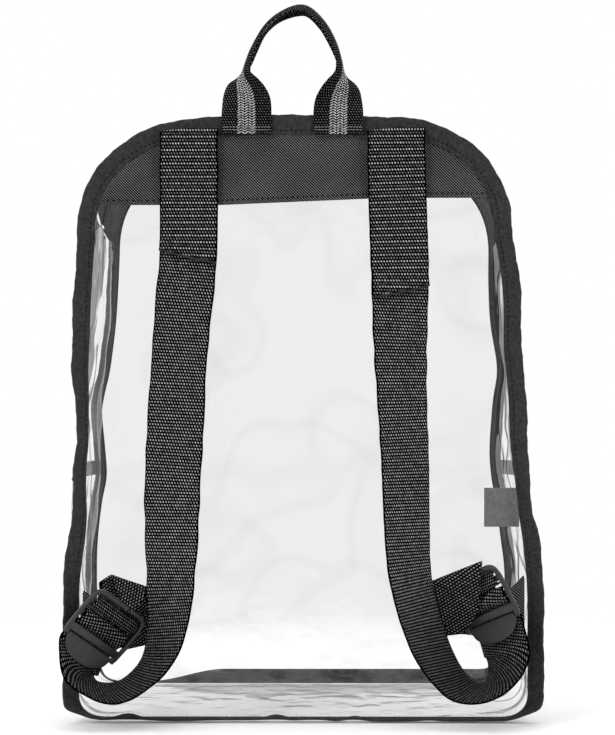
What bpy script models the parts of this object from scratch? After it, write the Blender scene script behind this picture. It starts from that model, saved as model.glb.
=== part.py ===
# Clear stadium backpack standing upright, strap side towards -Y.
# Lengths below are millimetres; MM turns them into Blender's metres.
# +X is to the right seen from the strap side, +Z is up, the floor is z = 0.

import bmesh
import bpy
import numpy as np
from math import cos, sin, pi, radians, acos

MM = 0.001

# The body of the bag
BACK_Y = -55.5          # seam plane of the strap side
DEPTH = 150.0           # from the back seam to the front seam
FRONT_Y = BACK_Y + DEPTH
TOP_SEAM = 382.8        # height of the top seam
SHOULDER = 312.9        # height where the rounded top corners begin
BACK_BOTTOM = 1.2       # height of the bottom seam at the back
FRONT_BOTTOM = 10.0     # and at the front, where the band stands under it
CORNER_RISE = 19.0      # height of a bottom corner
CORNER_RUN = 24.0       # width of a bottom corner
TOP_HALF = 54.0         # half of the level stretch of the top seam
TOP_CROWN = 1.3         # how far that stretch rises to its middle
BOTTOM_ROUND = 2.6      # power of the bottom corners, 2 for an ellipse
TOP_LEFT_ROUND = 2.3    # and of the two top corners
TOP_RIGHT_ROUND = 2.2
FRONT_WAIST = 0.5       # share of the back seam's waist that the front seam has
VINYL = 1.0             # thickness of the clear sheet
CLOTH = 1.2             # thickness of the black twill
GAP = 0.3               # air between pieces that touch
SMOOTH_ANGLE = 35.0     # faces that meet at less than this are shaded smooth
WELD = 0.05             # corners of joined pieces nearer than this become one

# How the clear sheets hang between the seams
PANEL_MIDDLE = (0.0, 190.0)      # across and up
PANEL_RINGS = (0.4, 0.75, 1.0)   # shares of the way from there to the seam
BACK_SAG = 2.0          # how far the back panel sinks in at its middle
FRONT_SWELL = 4.0       # and how far the front panel stands out
WALL_INSET = 0.2        # from the seam line in to the wall's outer face
WALL_BOW = 2.5          # how far the wall stands out at half its depth
BOW_FROM = 20.0         # height where that bow begins
BOW_RISE = 60.0         # and the height it takes to reach its full size
WALL_STEP = 30.0        # longest step from back to front

# Points along each stretch of the seam
SIDE_STEPS = 14
LOWER_STEPS = 5
BOTTOM_STEPS = 7
UPPER_STEPS = 8
TOP_STEPS = 7
SPLIT = 0.03            # share of a step between the clear wall and the black top

# The edge binding
BAND_INSIDE = 2.0       # how far the band reaches in over the panel
BAND_SIDE = 10.0        # how far it stands out past the seam
BAND_TOP = 11.3         # and how far over the top
BAND_THICK = 2.4
BAND_EDGE = 0.4         # bevel of its folded edge
BAND_WIDENS = 350.0     # height where it begins to widen towards the top
BAND_WIDENS_RISE = 30.0
FACES_DOWN = -0.05      # seam normals below this face the floor

# Webbing and straps
WEB_WIDE = 37.4
WEB_THICK = 1.8
WEB_EDGE = 0.7          # bevel of its edges
LAP_LIFT = WEB_THICK + 2.5 * GAP   # sewn upper layer above the strap's middle

# The ladder-lock buckles, along their length from the fixed end
FRAME_LONG = 32.0
FRAME_WIDE = 43.8
RAIL = 2.6
RAIL_HALF_DEEP = 2.5
BAR_ROWS = (
    # start, end, height above the frame's middle, half of its thickness
    (0.2, 3.4, 0.0, 1.5),
    (7.0, 11.0, -1.0, 1.2),
    (16.7, 20.3, -1.0, 1.2),
    (25.2, 31.8, 1.0, 1.3),
)
TAB_LONG = 13.0         # how far the thumb tab reaches past the frame
TAB_INSET = 4.0         # from the frame's sides in to the tab's
TAB_ROOT = 2.0          # how far it begins inside the last bar
TAB_LEVELS = (0.9, 2.5) # its two faces above the frame's middle
TAB_SLOPE = 0.08        # how it rises along its length
TAB_ROUND = 0.8
TAB_POINTS = 15

# The side outline of the back seam, one row for each height
SIDE_ROWS = (
    # height, left, right
    (312.9, 136.5, 126.3),
    (290.0, 138.7, 130.1),
    (260.0, 140.6, 131.4),
    (236.0, 141.0, 132.0),
    (212.0, 139.6, 134.6),
    (190.0, 138.1, 135.6),
    (172.0, 139.0, 136.4),
    (150.0, 140.4, 137.6),
    (130.0, 141.7, 139.9),
    (112.0, 143.6, 144.3),
    (95.0, 145.4, 146.0),
    (70.0, 146.3, 146.3),
    (23.0, 146.0, 146.3),
)

# The straps, one row for each place: centre across, centre up, distance in front
# of the back seam plane, direction of the webbing's width in that plane, and how
# far the width is tipped towards -Y. Angles are degrees.
LEFT_STRAP = (
    # across, up, out, turn, tip
    (-74.2, 381.0, 4.0, 0, 0),
    (-74.2, 366.0, 4.0, 0, 0),
    (-74.2, 340.0, 3.0, 0, 0),
    (-74.6, 302.7, 5.4, -2, 4),
    (-77.6, 267.1, 9.5, -2, 8),
    (-80.5, 228.4, 12.5, 0, 12),
    (-82.5, 189.8, 13.6, 0, 10),
    (-84.4, 151.2, 13.8, 0, 12),
    (-84.8, 119.1, 15.4, 0, 20),
    (-85.3, 93.3, 17.6, 0, 30),
    (-86.6, 69.5, 19.4, -4, 41),
    (-90.0, 52.3, 20.6, -11, 50),
    (-95.6, 40.0, 21.8, -18, 59),
    (-103.6, 31.1, 22.6, -27, 66),
    (-112.4, 24.6, 23.0, -40, 71),
    (-120.8, 21.8, 23.4, -62, 75),
    (-128.6, 22.4, 23.8, -95, 80),
    (-135.6, 25.4, 23.8, -135, 82),
    (-140.8, 30.2, 23.2, -175, 72),
    (-143.8, 35.6, 21.8, -203, 52),
)
RIGHT_STRAP = (
    # across, up, out, turn, tip
    (60.0, 382.0, 4.0, 180, 0),
    (60.2, 366.0, 4.0, 180, 0),
    (60.9, 340.0, 3.0, 180, 0),
    (62.1, 299.4, 5.0, 180, 5),
    (62.5, 276.0, 7.6, 180, 11),
    (62.5, 243.8, 11.6, 180, 20),
    (63.6, 209.1, 14.6, 180, 28),
    (65.4, 170.6, 16.2, 180, 32),
    (66.4, 132.1, 17.8, 181, 36),
    (67.6, 104.7, 19.4, 183, 40),
    (70.2, 87.4, 20.3, 186, 43),
    (74.9, 69.5, 20.8, 190, 45),
    (81.4, 51.5, 21.2, 194, 48),
    (89.6, 36.8, 21.9, 200, 54),
    (98.6, 26.2, 22.8, 209, 61),
    (106.6, 22.4, 23.8, 224, 70),
    (113.6, 22.2, 24.6, 254, 78),
    (120.0, 24.8, 25.0, 300, 79),
    (125.0, 29.6, 24.8, 336, 71),
    (128.4, 35.4, 23.8, 354, 60),
    (130.2, 41.8, 22.8, 366, 50),
    (130.0, 48.4, 21.8, 376, 41),
)
LEFT_LAP_END = 302.0    # height where the sewn upper layer of a strap ends
RIGHT_LAP_END = 279.0

# Each buckle as one row of a strap's table: across, up, out, turn, tip. The
# first three are the middle of its frame, and the turn is that of its bars.
LEFT_BUCKLE = (-126.9, 64.1, 18.0, -216, 27)
RIGHT_BUCKLE = (114.0, 79.9, 21.0, 388, 35)

# The webbing's way through a buckle, one row for each place: along the buckle,
# and above the middle plane of its frame
STRAP_THREAD = (
    # along, above
    (45.0, -3.8),
    (38.0, -3.3),
    (31.0, -2.7),
    (26.6, -2.4),
    (23.4, -1.0),
    (21.9, 0.9),
    (19.0, 1.6),
    (16.6, 1.2),
    (15.3, -0.6),
    (15.2, -3.2),
)
ANCHOR_THREAD = (
    # along, above
    (12.2, -3.2),
    (12.2, -0.6),
    (10.9, 1.2),
    (8.8, 1.6),
    (6.2, 0.8),
    (4.9, -1.4),
    (4.5, -5.4),
)
# Below the bar the loop turns level and goes down to the anchor webbing
ANCHOR_FOOT = (
    # along, share of the buckle's tip, share of the height still left
    (2.6, 0.5, 0.35),
    (1.0, 0.0, 0.0),
)
ANCHOR_TRIM = 1.4       # how much narrower the loop is than the webbing
ANCHOR_OUTER = 5.4      # outer face of the doubled webbing, out from the seam
ANCHOR_MIDDLE = 4.0     # and its middle
WING_THICK = 2.0

# Flat cloth and webbing pieces as corner points: across, up
LEFT_WING = ((-143.5, 86.0), (-143.5, 24.0), (-118.0, 50.0), (-118.0, 62.0))
RIGHT_WING = ((143.5, 96.0), (143.5, 30.0), (118.0, 55.0), (118.0, 69.0))
LEFT_PLATE = ((-133.0, 90.5), (-124.7, 96.0), (-102.7, 87.8), (-92.0, 82.0),
              (-93.0, 52.0), (-115.0, 47.0), (-127.0, 52.0))
RIGHT_PLATE = ((119.5, 99.5), (102.1, 98.1), (85.0, 92.5), (78.0, 89.0),
               (84.0, 55.0), (102.7, 57.3), (120.9, 55.0), (128.0, 79.0))
LABEL_IN = 2.0          # how far the label lies behind the back seam plane
LABEL_THICK = 0.9
LABEL = ((117.6, 151.7), (117.6, 126.3), (135.8, 126.3), (135.8, 151.7))

# The grab handle: centre across, up, half of its width in the panel's plane,
# and half of its size front to back
HANDLE_ROWS = (
    # across, up, half_wide, half_deep
    (-36.8, 381.6, 16.3, 1.1),
    (-36.8, 399.0, 16.0, 1.2),
    (-37.8, 406.6, 14.8, 2.4),
    (-40.0, 413.0, 11.4, 4.6),
    (-39.6, 419.0, 5.8, 6.8),
    (-38.0, 424.5, 3.4, 8.0),
    (-32.0, 437.0, 3.0, 8.2),
    (-21.0, 451.3, 2.8, 8.2),
    (-10.6, 459.4, 2.8, 8.2),
    (-4.2, 461.6, 2.8, 8.2),
    (2.2, 459.4, 2.8, 8.2),
    (12.6, 448.4, 2.8, 8.2),
    (20.6, 436.4, 2.8, 8.2),
    (25.2, 424.5, 3.4, 8.0),
    (26.2, 419.0, 5.8, 6.8),
    (25.4, 413.0, 11.4, 4.6),
    (23.4, 406.6, 14.8, 2.4),
    (22.0, 399.0, 16.0, 1.2),
    (22.0, 382.0, 16.3, 1.1),
)
HANDLE_OUT = 4.4        # middle of the handle in front of the back seam plane
HANDLE_ROUND = 3.5      # power of its section, between an oval and a rectangle

# Side pockets
POCKET_TOP = 153.0
POCKET_HEM = 10.0
POCKET_BOTTOM = 16.0
POCKET_SLACK = 13.0     # how far the pocket stands away from the wall
POCKET_SWELL = 90.0     # the height over which that slack grows
POCKET_EDGE = 3.0       # from each seam to the pocket's edge
POCKET_POINTS = 9       # points from back to front
SWELL_UP = 0.6          # powers of the slack's growth upwards
SWELL_ACROSS = 0.8      # and from the seams to the middle
HEM_THICK = 2.0

YOKE_LEFT = 335.6       # height of the yoke's lower edge at its two ends
YOKE_RIGHT = 340.2
YOKE_CLEAR = 1.0        # seam points nearer its corners than this are left out
ZIP_FROM = 66.0         # the zipper's place in the depth of the top
ZIP_TO = 84.0
ZIP_THICK = 1.6
SLIDER_ROWS = (
    # across, half_wide, tall
    (-13.0, 3.6, 3.0),
    (-10.0, 4.6, 3.6),
    (-2.0, 4.6, 3.6),
    (-1.0, 3.2, 1.8),
    (24.0, 3.2, 1.8),
    (26.0, 2.2, 1.6),
)


def clear_scene():
    for thing in list(bpy.data.objects):
        bpy.data.objects.remove(thing)


def material(name, colour, roughness, metallic=0.0, alpha=1.0):
    made = bpy.data.materials.new(name)
    made.use_nodes = True
    shader = made.node_tree.nodes["Principled BSDF"]
    shader.inputs["Base Color"].default_value = (*colour, 1.0)
    shader.inputs["Roughness"].default_value = roughness
    shader.inputs["Metallic"].default_value = metallic
    shader.inputs["Alpha"].default_value = alpha
    return made


def curve_through(rows, steps):
    # A Catmull-Rom curve through the rows, with the same steps in every span
    rows = np.array(rows, float)
    first = 2 * rows[0] - rows[1]
    last = 2 * rows[-1] - rows[-2]
    ends = np.vstack([first, rows, last])
    t = np.linspace(0, 1, steps, endpoint=False)[:, None]
    spans = []
    for k in range(len(rows) - 1):
        a, b, c, d = ends[k:k + 4]
        spans.append(0.5 * (2 * b + (c - a) * t + (2 * a - 5 * b + 4 * c - d) * t ** 2
                            + (3 * b - a - 3 * c + d) * t ** 3))
    return np.vstack(spans + [rows[-1:]])


def table_value(rows, column, height):
    # Smooth reading of one column of a table whose first column falls
    fine = curve_through(rows, 8)[::-1]
    return np.interp(height, fine[:, 0], fine[:, column])


def shade(mesh):
    mesh.shade_smooth()
    mesh.set_sharp_from_angle(angle=radians(SMOOTH_ANGLE))


def solid(name, points, faces, finish):
    points = np.array(points, float)
    mesh = bpy.data.meshes.new(name)
    mesh.from_pydata((points * MM).tolist(), [], faces)
    mesh.update()
    mesh.calc_loop_triangles()
    corners = np.array([t.vertices[:] for t in mesh.loop_triangles])
    a, b, c = (points[corners[:, k]] for k in range(3))
    if np.einsum("ij,ij->i", a, np.cross(b, c)).sum() < 0:
        mesh.flip_normals()
    shade(mesh)
    mesh.materials.append(finish)
    made = bpy.data.objects.new(name, mesh)
    bpy.context.scene.collection.objects.link(made)
    return made


def loft(name, sections, finish, ring=False):
    # Closed sections joined in order; the ends are capped unless they meet
    sections = np.array(sections, float)
    count, size = sections.shape[:2]
    faces = []
    for k in range(count if ring else count - 1):
        here = k * size
        there = ((k + 1) % count) * size
        for j in range(size):
            n = (j + 1) % size
            faces.append((here + j, here + n, there + n, there + j))
    if not ring:
        faces.append(tuple(range(size))[::-1])
        faces.append(tuple(range((count - 1) * size, count * size)))
    return solid(name, sections.reshape(-1, 3), faces, finish)


def sheet(name, outer, inner, finish):
    # A wall between two grids of the same size, closed along its four edges
    sections = []
    for k in range(outer.shape[0]):
        sections.append(np.vstack([outer[k], inner[k][::-1]]))
    return loft(name, sections, finish)


def plate(name, corners, near, far, finish):
    # A flat outline given as (across, up), between two distances out
    count = len(corners)
    points = [(x, BACK_Y - near, z) for x, z in corners]
    points += [(x, BACK_Y - far, z) for x, z in corners]
    faces = [tuple(range(count)), tuple(range(count, 2 * count))[::-1]]
    for k in range(count):
        n = (k + 1) % count
        faces.append((k, n, count + n, count + k)[::-1])
    return solid(name, points, faces, finish)


def oval(half_a, half_b, power, count):
    # Points of a superellipse, from a circle at power 2 towards a rectangle
    turn = (np.arange(count) + 0.5) / count * 2 * pi
    c, s = np.cos(turn), np.sin(turn)
    return np.stack([half_a * np.sign(c) * np.abs(c) ** (2 / power),
                     half_b * np.sign(s) * np.abs(s) ** (2 / power)], axis=1)


def corner(across, up, run, rise, power, turns):
    # A quarter of a superellipse, as points around its own centre
    c, s = np.cos(turns), np.sin(turns)
    return np.stack([across + run * np.sign(c) * np.abs(c) ** (2 / power),
                     up + rise * np.sign(s) * np.abs(s) ** (2 / power)], axis=1)


def seam_outline(bottom, waist):
    # The seam seen from the strap side: down the left side, along the bottom, up
    # the right side and back over the top. The waist scales how far the sides
    # leave a straight line.
    low = bottom + CORNER_RISE
    heights = np.linspace(SHOULDER, low, SIDE_STEPS)
    sides = []
    for column in (1, 2):
        wide = table_value(SIDE_ROWS, column, heights)
        straight = np.interp(heights, [low, SHOULDER], [wide[-1], wide[0]])
        sides.append(straight + waist * (wide - straight))
    left, right = sides
    floor_left = -left[-1] + CORNER_RUN
    floor_right = right[-1] - CORNER_RUN
    shoulder_rise = TOP_SEAM - TOP_CROWN - SHOULDER
    top = np.linspace(TOP_HALF, -TOP_HALF, TOP_STEPS)
    lower_turn = np.linspace(pi, 1.5 * pi, LOWER_STEPS + 2)[1:-1]
    upper_turn = np.linspace(0, pi / 2, UPPER_STEPS + 2)[1:-1]
    return np.vstack([
        np.stack([-left, heights], axis=1),
        corner(floor_left, low, CORNER_RUN, CORNER_RISE, BOTTOM_ROUND, lower_turn),
        np.stack([np.linspace(floor_left, floor_right, BOTTOM_STEPS),
                  np.full(BOTTOM_STEPS, bottom)], axis=1),
        corner(floor_right, low, CORNER_RUN, CORNER_RISE, BOTTOM_ROUND, lower_turn + pi / 2),
        np.stack([right, heights], axis=1)[::-1],
        corner(TOP_HALF, SHOULDER, right[0] - TOP_HALF, shoulder_rise, TOP_RIGHT_ROUND,
               upper_turn),
        np.stack([top, TOP_SEAM - TOP_CROWN * (top / TOP_HALF) ** 2], axis=1),
        corner(-TOP_HALF, SHOULDER, left[0] - TOP_HALF, shoulder_rise, TOP_LEFT_ROUND,
               upper_turn + pi / 2),
    ])


def outward(outline):
    # Unit normals of the outline, away from the bag's middle
    along = np.roll(outline, -1, axis=0) - np.roll(outline, 1, axis=0)
    along /= np.linalg.norm(along, axis=1)[:, None]
    return np.stack([along[:, 1], -along[:, 0]], axis=1)


def at_place(rows, place):
    # A row of the outline, or a point between two rows
    first = int(np.floor(place))
    share = place - first
    return rows[first % len(rows)] * (1 - share) + rows[(first + 1) % len(rows)] * share


def wall_point(place, v, lift):
    # A point of the side wall: the place along the seams, v from back to front,
    # lift outwards. The wall bows a little where it is clear of the floor.
    at = at_place(BACK_SEAM, place) * (1 - v) + at_place(FRONT_SEAM, place) * v
    normal = at_place(BACK_NORMAL, place)
    clear = np.clip((at[1] - BOW_FROM) / BOW_RISE, 0, 1)
    bow = WALL_BOW * sin(pi * v) * clear * clear * (3 - 2 * clear)
    at = at + normal * (bow + lift)
    return (at[0], BACK_Y + DEPTH * v, at[1])


def wall(name, places, low, high, finish, thick):
    # A strip of the wall between two depths, measured from the back seam
    depths = np.linspace(low, high, max(2, int((high - low) / WALL_STEP) + 1)) / DEPTH
    outer = np.array([[wall_point(k, v, -WALL_INSET) for v in depths] for k in places])
    inner = np.array([[wall_point(k, v, -WALL_INSET - thick) for v in depths] for k in places])
    return sheet(name, outer, inner, finish)


def panel(name, outline, level, sag, facing, finish):
    # A clear panel: rings from its middle to the seam, sagging between them
    middle = np.array(PANEL_MIDDLE)
    count = len(outline)
    layers = []
    for depth in (level, level + VINYL * -facing):
        points = [(middle[0], depth - facing * sag, middle[1])]
        for ring in PANEL_RINGS:
            flat = middle + (outline - middle) * ring
            fall = depth - facing * sag * (1 - ring ** 2)
            points += [(x, fall, z) for x, z in flat]
        layers.append(np.array(points))
    faces = []
    size = 1 + len(PANEL_RINGS) * count
    for side in (0, 1):
        base = side * size
        for k in range(count):
            n = (k + 1) % count
            fan = [base, base + 1 + k, base + 1 + n]
            faces.append(tuple(fan if side == 0 else fan[::-1]))
            for r in range(len(PANEL_RINGS) - 1):
                a = base + 1 + r * count
                quad = [a + k, a + count + k, a + count + n, a + n]
                faces.append(tuple(quad if side == 0 else quad[::-1]))
    edge = 1 + (len(PANEL_RINGS) - 1) * count
    for k in range(count):
        n = (k + 1) % count
        faces.append((edge + k, size + edge + k, size + edge + n, edge + n))
    return solid(name, np.vstack(layers), faces, finish)


def binding(name, outline, normals, level, facing, finish):
    # The folded tape round a seam. It lies in the panel's plane, and turns away
    # from the bag wherever it would reach below the floor.
    sections = []
    for (x, z), (nx, nz) in zip(outline, normals):
        widened = np.clip((z - BAND_WIDENS) / BAND_WIDENS_RISE, 0, 1)
        wide = BAND_INSIDE + BAND_SIDE + (BAND_TOP - BAND_SIDE) * widened
        room = (z + BAND_INSIDE * -nz) / (wide * -nz) if nz < FACES_DOWN else 1.0
        turned = acos(min(1.0, room))
        n = np.array([nx, 0.0, nz])
        y = np.array([0.0, facing, 0.0])
        along = cos(turned) * n + sin(turned) * y
        through = cos(turned) * y - sin(turned) * n
        start = np.array([x, level, z]) - BAND_INSIDE * n + GAP * y
        profile = ((0.0, 0.0), (wide - BAND_EDGE, 0.0), (wide, BAND_EDGE),
                   (wide, BAND_THICK - BAND_EDGE), (wide - BAND_EDGE, BAND_THICK),
                   (0.0, BAND_THICK))
        sections.append([start + a * along + b * through for a, b in profile])
    return loft(name, sections, finish, ring=True)


def web_row(across, up, out, turn, tip):
    # A centre and the direction of the webbing's width
    turn, tip = radians(turn), radians(tip)
    centre = np.array([across, BACK_Y - out, up])
    wide = np.array([cos(tip) * cos(turn), -sin(tip), cos(tip) * sin(turn)])
    return np.concatenate([centre, wide])


def web_profile(wide, thick):
    half = wide / 2
    deep = thick / 2
    flat = half - WEB_EDGE
    return ((-half, 0.0), (-flat, -deep), (flat, -deep),
            (half, 0.0), (flat, deep), (-flat, deep))


def ribbon(name, rows, steps, finish, wide=WEB_WIDE, thick=WEB_THICK):
    # Webbing carried along the curve through the rows
    path = curve_through(rows, steps)
    centre, across = path[:, :3], path[:, 3:]
    along = np.gradient(centre, axis=0)
    along /= np.linalg.norm(along, axis=1)[:, None]
    across = across - (across * along).sum(1)[:, None] * along
    across /= np.linalg.norm(across, axis=1)[:, None]
    through = np.cross(along, across)
    sections = [[c + a * w + b * n for a, b in web_profile(wide, thick)]
                for c, w, n in zip(centre, across, through)]
    return loft(name, sections, finish)


def buckle_axes(buckle):
    # Centre, length from the fixed bar to the tab, bar direction and outward
    row = web_row(*buckle)
    centre, bars = row[:3], row[3:]
    turn = radians(buckle[3])
    side = 1 if cos(turn) > 0 else -1
    length = np.array([side * sin(turn), 0.0, -side * cos(turn)])
    if length[2] > 0:
        length = -length
    face = np.cross(bars, length)
    if face[1] > 0:
        face = -face
    return centre, length, bars, face


def in_buckle(buckle, along, across, above):
    centre, length, bars, face = buckle_axes(buckle)
    return centre + (along - FRAME_LONG / 2) * length + across * bars + above * face


def thread_rows(buckle, thread):
    bars = buckle_axes(buckle)[2]
    return [np.concatenate([in_buckle(buckle, along, 0, above), bars])
            for along, above in thread]


def beam(buckle, start, end, half_a, half_b, lift, along_bars, finish):
    # A straight moulded bar of the buckle with rounded edges
    sections = []
    for at in (start, end):
        ring = []
        for a, b in oval(half_a, half_b, 4, 8):
            if along_bars:
                middle = (lift[0] + a, at, lift[1] + b)
            else:
                middle = (at, lift[0] + a, lift[1] + b)
            ring.append(in_buckle(buckle, *middle))
        sections.append(ring)
    return loft("buckle_piece", sections, finish)


def tab(buckle, finish):
    # The half-moon thumb tab beyond the flat bar
    turns = np.linspace(0, pi, TAB_POINTS)
    half = FRAME_WIDE / 2 - TAB_INSET
    rim = [(FRAME_LONG - TAB_ROOT, half)]
    rim += [(FRAME_LONG + TAB_LONG * sin(t) ** TAB_ROUND, half * cos(t)) for t in turns]
    rim += [(FRAME_LONG - TAB_ROOT, -half)]
    layers = []
    for level in TAB_LEVELS:
        layers.append([in_buckle(buckle, a, c, level + TAB_SLOPE * max(0, a - FRAME_LONG))
                       for a, c in rim])
    return loft("buckle_piece", layers, finish)


def close_slivers(mesh):
    # Corners nearer than the weld become one, and the faces become triangles
    work = bmesh.new()
    work.from_mesh(mesh)
    bmesh.ops.remove_doubles(work, verts=work.verts, dist=WELD * MM)
    bmesh.ops.dissolve_degenerate(work, edges=work.edges, dist=WELD * MM / 10)
    bmesh.ops.triangulate(work, faces=work.faces)
    work.to_mesh(mesh)
    work.free()


def union(name, pieces, finish):
    # The pieces joined into one body, and the pieces themselves removed
    whole = pieces[0]
    for other in pieces[1:]:
        join = whole.modifiers.new("join", "BOOLEAN")
        join.operation = "UNION"
        join.solver = "EXACT"
        join.object = other
    bpy.context.view_layer.update()
    graph = bpy.context.evaluated_depsgraph_get()
    mesh = bpy.data.meshes.new_from_object(whole.evaluated_get(graph))
    mesh.name = name
    mesh.materials.clear()
    mesh.materials.append(finish)
    close_slivers(mesh)
    shade(mesh)
    for piece in pieces:
        bpy.data.objects.remove(piece)
    made = bpy.data.objects.new(name, mesh)
    bpy.context.scene.collection.objects.link(made)
    return made


def buckle_frame(name, buckle, finish):
    half = FRAME_WIDE / 2
    inner = half - RAIL / 2
    pieces = []
    for side in (-1, 1):
        pieces.append(beam(buckle, 0.0, FRAME_LONG, RAIL / 2, RAIL_HALF_DEEP,
                           (side * inner, 0.0), False, finish))
    for start, end, lift, half_deep in BAR_ROWS:
        middle = (start + end) / 2
        half_wide = (end - start) / 2
        pieces.append(beam(buckle, -inner, inner, half_wide, half_deep,
                           (middle, lift), True, finish))
    pieces.append(tab(buckle, finish))
    return union(name, pieces, finish)


def anchor(name, corners, buckle, finish):
    # Doubled webbing lying on the wing, and its loop round the buckle's bar
    flat = plate("anchor_flat", corners, WING_THICK + 2 * GAP, ANCHOR_OUTER, finish)
    rows = thread_rows(buckle, ANCHOR_THREAD)
    bars = buckle_axes(buckle)[2]
    level = np.array([bars[0], 0.0, bars[2]])
    level /= np.linalg.norm(level)
    low = BACK_Y - ANCHOR_MIDDLE
    for along, tip_share, height_share in ANCHOR_FOOT:
        at = in_buckle(buckle, along, 0, ANCHOR_THREAD[-1][1])
        at[1] = low + (at[1] - low) * height_share
        wide = level + tip_share * (bars - level)
        rows.append(np.concatenate([at, wide / np.linalg.norm(wide)]))
    loop = ribbon("anchor_loop", rows, 3, finish, wide=WEB_WIDE - ANCHOR_TRIM)
    return union(name, [flat, loop], finish)


def shoulder_strap(name, rows, buckle, finish):
    path = [web_row(*row) for row in rows] + thread_rows(buckle, STRAP_THREAD)
    return ribbon(name, path, 3, finish)


def strap_lap(name, rows, end, finish):
    # The sewn upper layer, on top of the strap from the seam down to its hem
    path = [web_row(*row) for row in rows]
    fine = curve_through(path, 3)
    last = int(np.argmax(fine[:, 2] < end))
    share = (fine[last - 1, 2] - end) / (fine[last - 1, 2] - fine[last, 2])
    kept = np.vstack([fine[:last], fine[last - 1] + share * (fine[last] - fine[last - 1])])
    along = np.gradient(kept[:, :3], axis=0)
    normal = np.cross(along, kept[:, 3:])
    normal /= np.linalg.norm(normal, axis=1)[:, None]
    normal *= -np.sign(normal[:, 1])[:, None]
    kept[:, :3] += LAP_LIFT * normal
    return ribbon(name, kept, 1, finish)


def grab_handle(name, finish):
    fine = curve_through(HANDLE_ROWS, 3)
    centre = np.stack([fine[:, 0], np.full(len(fine), BACK_Y - HANDLE_OUT), fine[:, 1]], axis=1)
    along = np.gradient(centre, axis=0)
    along /= np.linalg.norm(along, axis=1)[:, None]
    deep = np.array([0.0, 1.0, 0.0])
    sections = []
    for c, t, (half_wide, half_deep) in zip(centre, along, fine[:, 2:]):
        side = np.cross(deep, t)
        ring = oval(half_wide, half_deep, HANDLE_ROUND, 8)
        sections.append([c + a * side + b * deep for a, b in ring])
    return loft(name, sections, finish)


def pocket(name, places, low, high, steps, thick, finish):
    # A slack sheet over the side wall. The slack grows from the pocket's floor.
    heights = np.linspace(high, low, steps)
    depths = np.linspace(POCKET_EDGE, DEPTH - POCKET_EDGE, POCKET_POINTS) / DEPTH
    known = BACK_SEAM[places, 1]
    order = np.argsort(known)
    outer, inner = [], []
    for height in heights:
        place = np.interp(height, known[order], np.array(places)[order])
        share = np.clip((height - POCKET_BOTTOM) / POCKET_SWELL, 0, 1)
        swell = POCKET_SLACK * share ** SWELL_UP * np.sin(pi * depths) ** SWELL_ACROSS + GAP
        inner.append([wall_point(place, v, s) for v, s in zip(depths, swell)])
        outer.append([wall_point(place, v, s + thick) for v, s in zip(depths, swell)])
    return sheet(name, np.array(outer), np.array(inner), finish)


def yoke(name, finish):
    # The twill panel between the top seam and the yoke's lower edge
    # The seam's points over the top, with a few below each end of the edge
    inset = BACK_SEAM - (BAND_INSIDE + GAP) * BACK_NORMAL
    ring = np.vstack([inset[LOWER_END - 3:], inset[:4]])
    edge = np.interp(ring[:, 0], [-TOP_HALF, TOP_HALF], [YOKE_LEFT, YOKE_RIGHT])
    above = ring[ring[:, 1] > edge + YOKE_CLEAR]
    ends = []
    for side, height in ((1, YOKE_RIGHT), (-1, YOKE_LEFT)):
        half = ring[ring[:, 0] * side > TOP_HALF]
        half = half[np.argsort(half[:, 1])]
        ends.append((np.interp(height, half[:, 1], half[:, 0]), height))
    corners = [ends[0]] + [tuple(p) for p in above] + [ends[1]]
    return plate(name, corners, GAP, GAP + CLOTH, finish)


def zip_slider(name, finish):
    # A plain slider with its tab, lying on the coil at the middle of the top
    middle = LOWER_END + UPPER_STEPS + TOP_STEPS // 2
    y, z = wall_point(middle, (ZIP_FROM + ZIP_TO) / 2 / DEPTH, 0.0)[1:]
    sections = []
    for across, half, tall in SLIDER_ROWS:
        sections.append([(across, y + a, z + GAP + tall / 2 + b)
                         for a, b in oval(half, tall / 2, 4, 8)])
    return loft(name, sections, finish)


clear_scene()

clear_vinyl = material("clear_vinyl", (0.92, 0.93, 0.94), 0.08, alpha=0.25)
black_twill = material("black_twill", (0.035, 0.035, 0.036), 0.85)
binding_tape = material("binding_tape", (0.030, 0.030, 0.031), 0.80)
strap_webbing = material("strap_webbing", (0.022, 0.022, 0.022), 0.75)
handle_webbing = material("handle_webbing", (0.022, 0.022, 0.022), 0.75)
buckle_plastic = material("buckle_plastic", (0.045, 0.045, 0.046), 0.45)
zip_coil = material("zip_coil", (0.020, 0.020, 0.020), 0.60)
zip_metal = material("zip_metal", (0.05, 0.05, 0.05), 0.35, metallic=0.8)
label_cloth = material("label_cloth", (0.55, 0.55, 0.55), 0.85)

BACK_SEAM = seam_outline(BACK_BOTTOM, 1.0)
FRONT_SEAM = seam_outline(FRONT_BOTTOM, FRONT_WAIST)
BACK_NORMAL = outward(BACK_SEAM)
FRONT_NORMAL = outward(FRONT_SEAM)
COUNT = len(BACK_SEAM)
LOWER_END = 2 * SIDE_STEPS + 2 * LOWER_STEPS + BOTTOM_STEPS
LOWER = list(range(LOWER_END))
UPPER = [LOWER_END - 1 + SPLIT] + list(range(LOWER_END, COUNT)) + [COUNT - SPLIT]
LEFT_PLACES = LOWER[:SIDE_STEPS + LOWER_STEPS]
RIGHT_PLACES = LOWER[-SIDE_STEPS - LOWER_STEPS:]

# Clear body
panel("back_panel", BACK_SEAM, BACK_Y, BACK_SAG, -1, clear_vinyl)
panel("front_panel", FRONT_SEAM, FRONT_Y, -FRONT_SWELL, 1, clear_vinyl)
wall("side_gusset", LOWER, VINYL + GAP, DEPTH - VINYL - GAP, clear_vinyl, VINYL)

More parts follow.
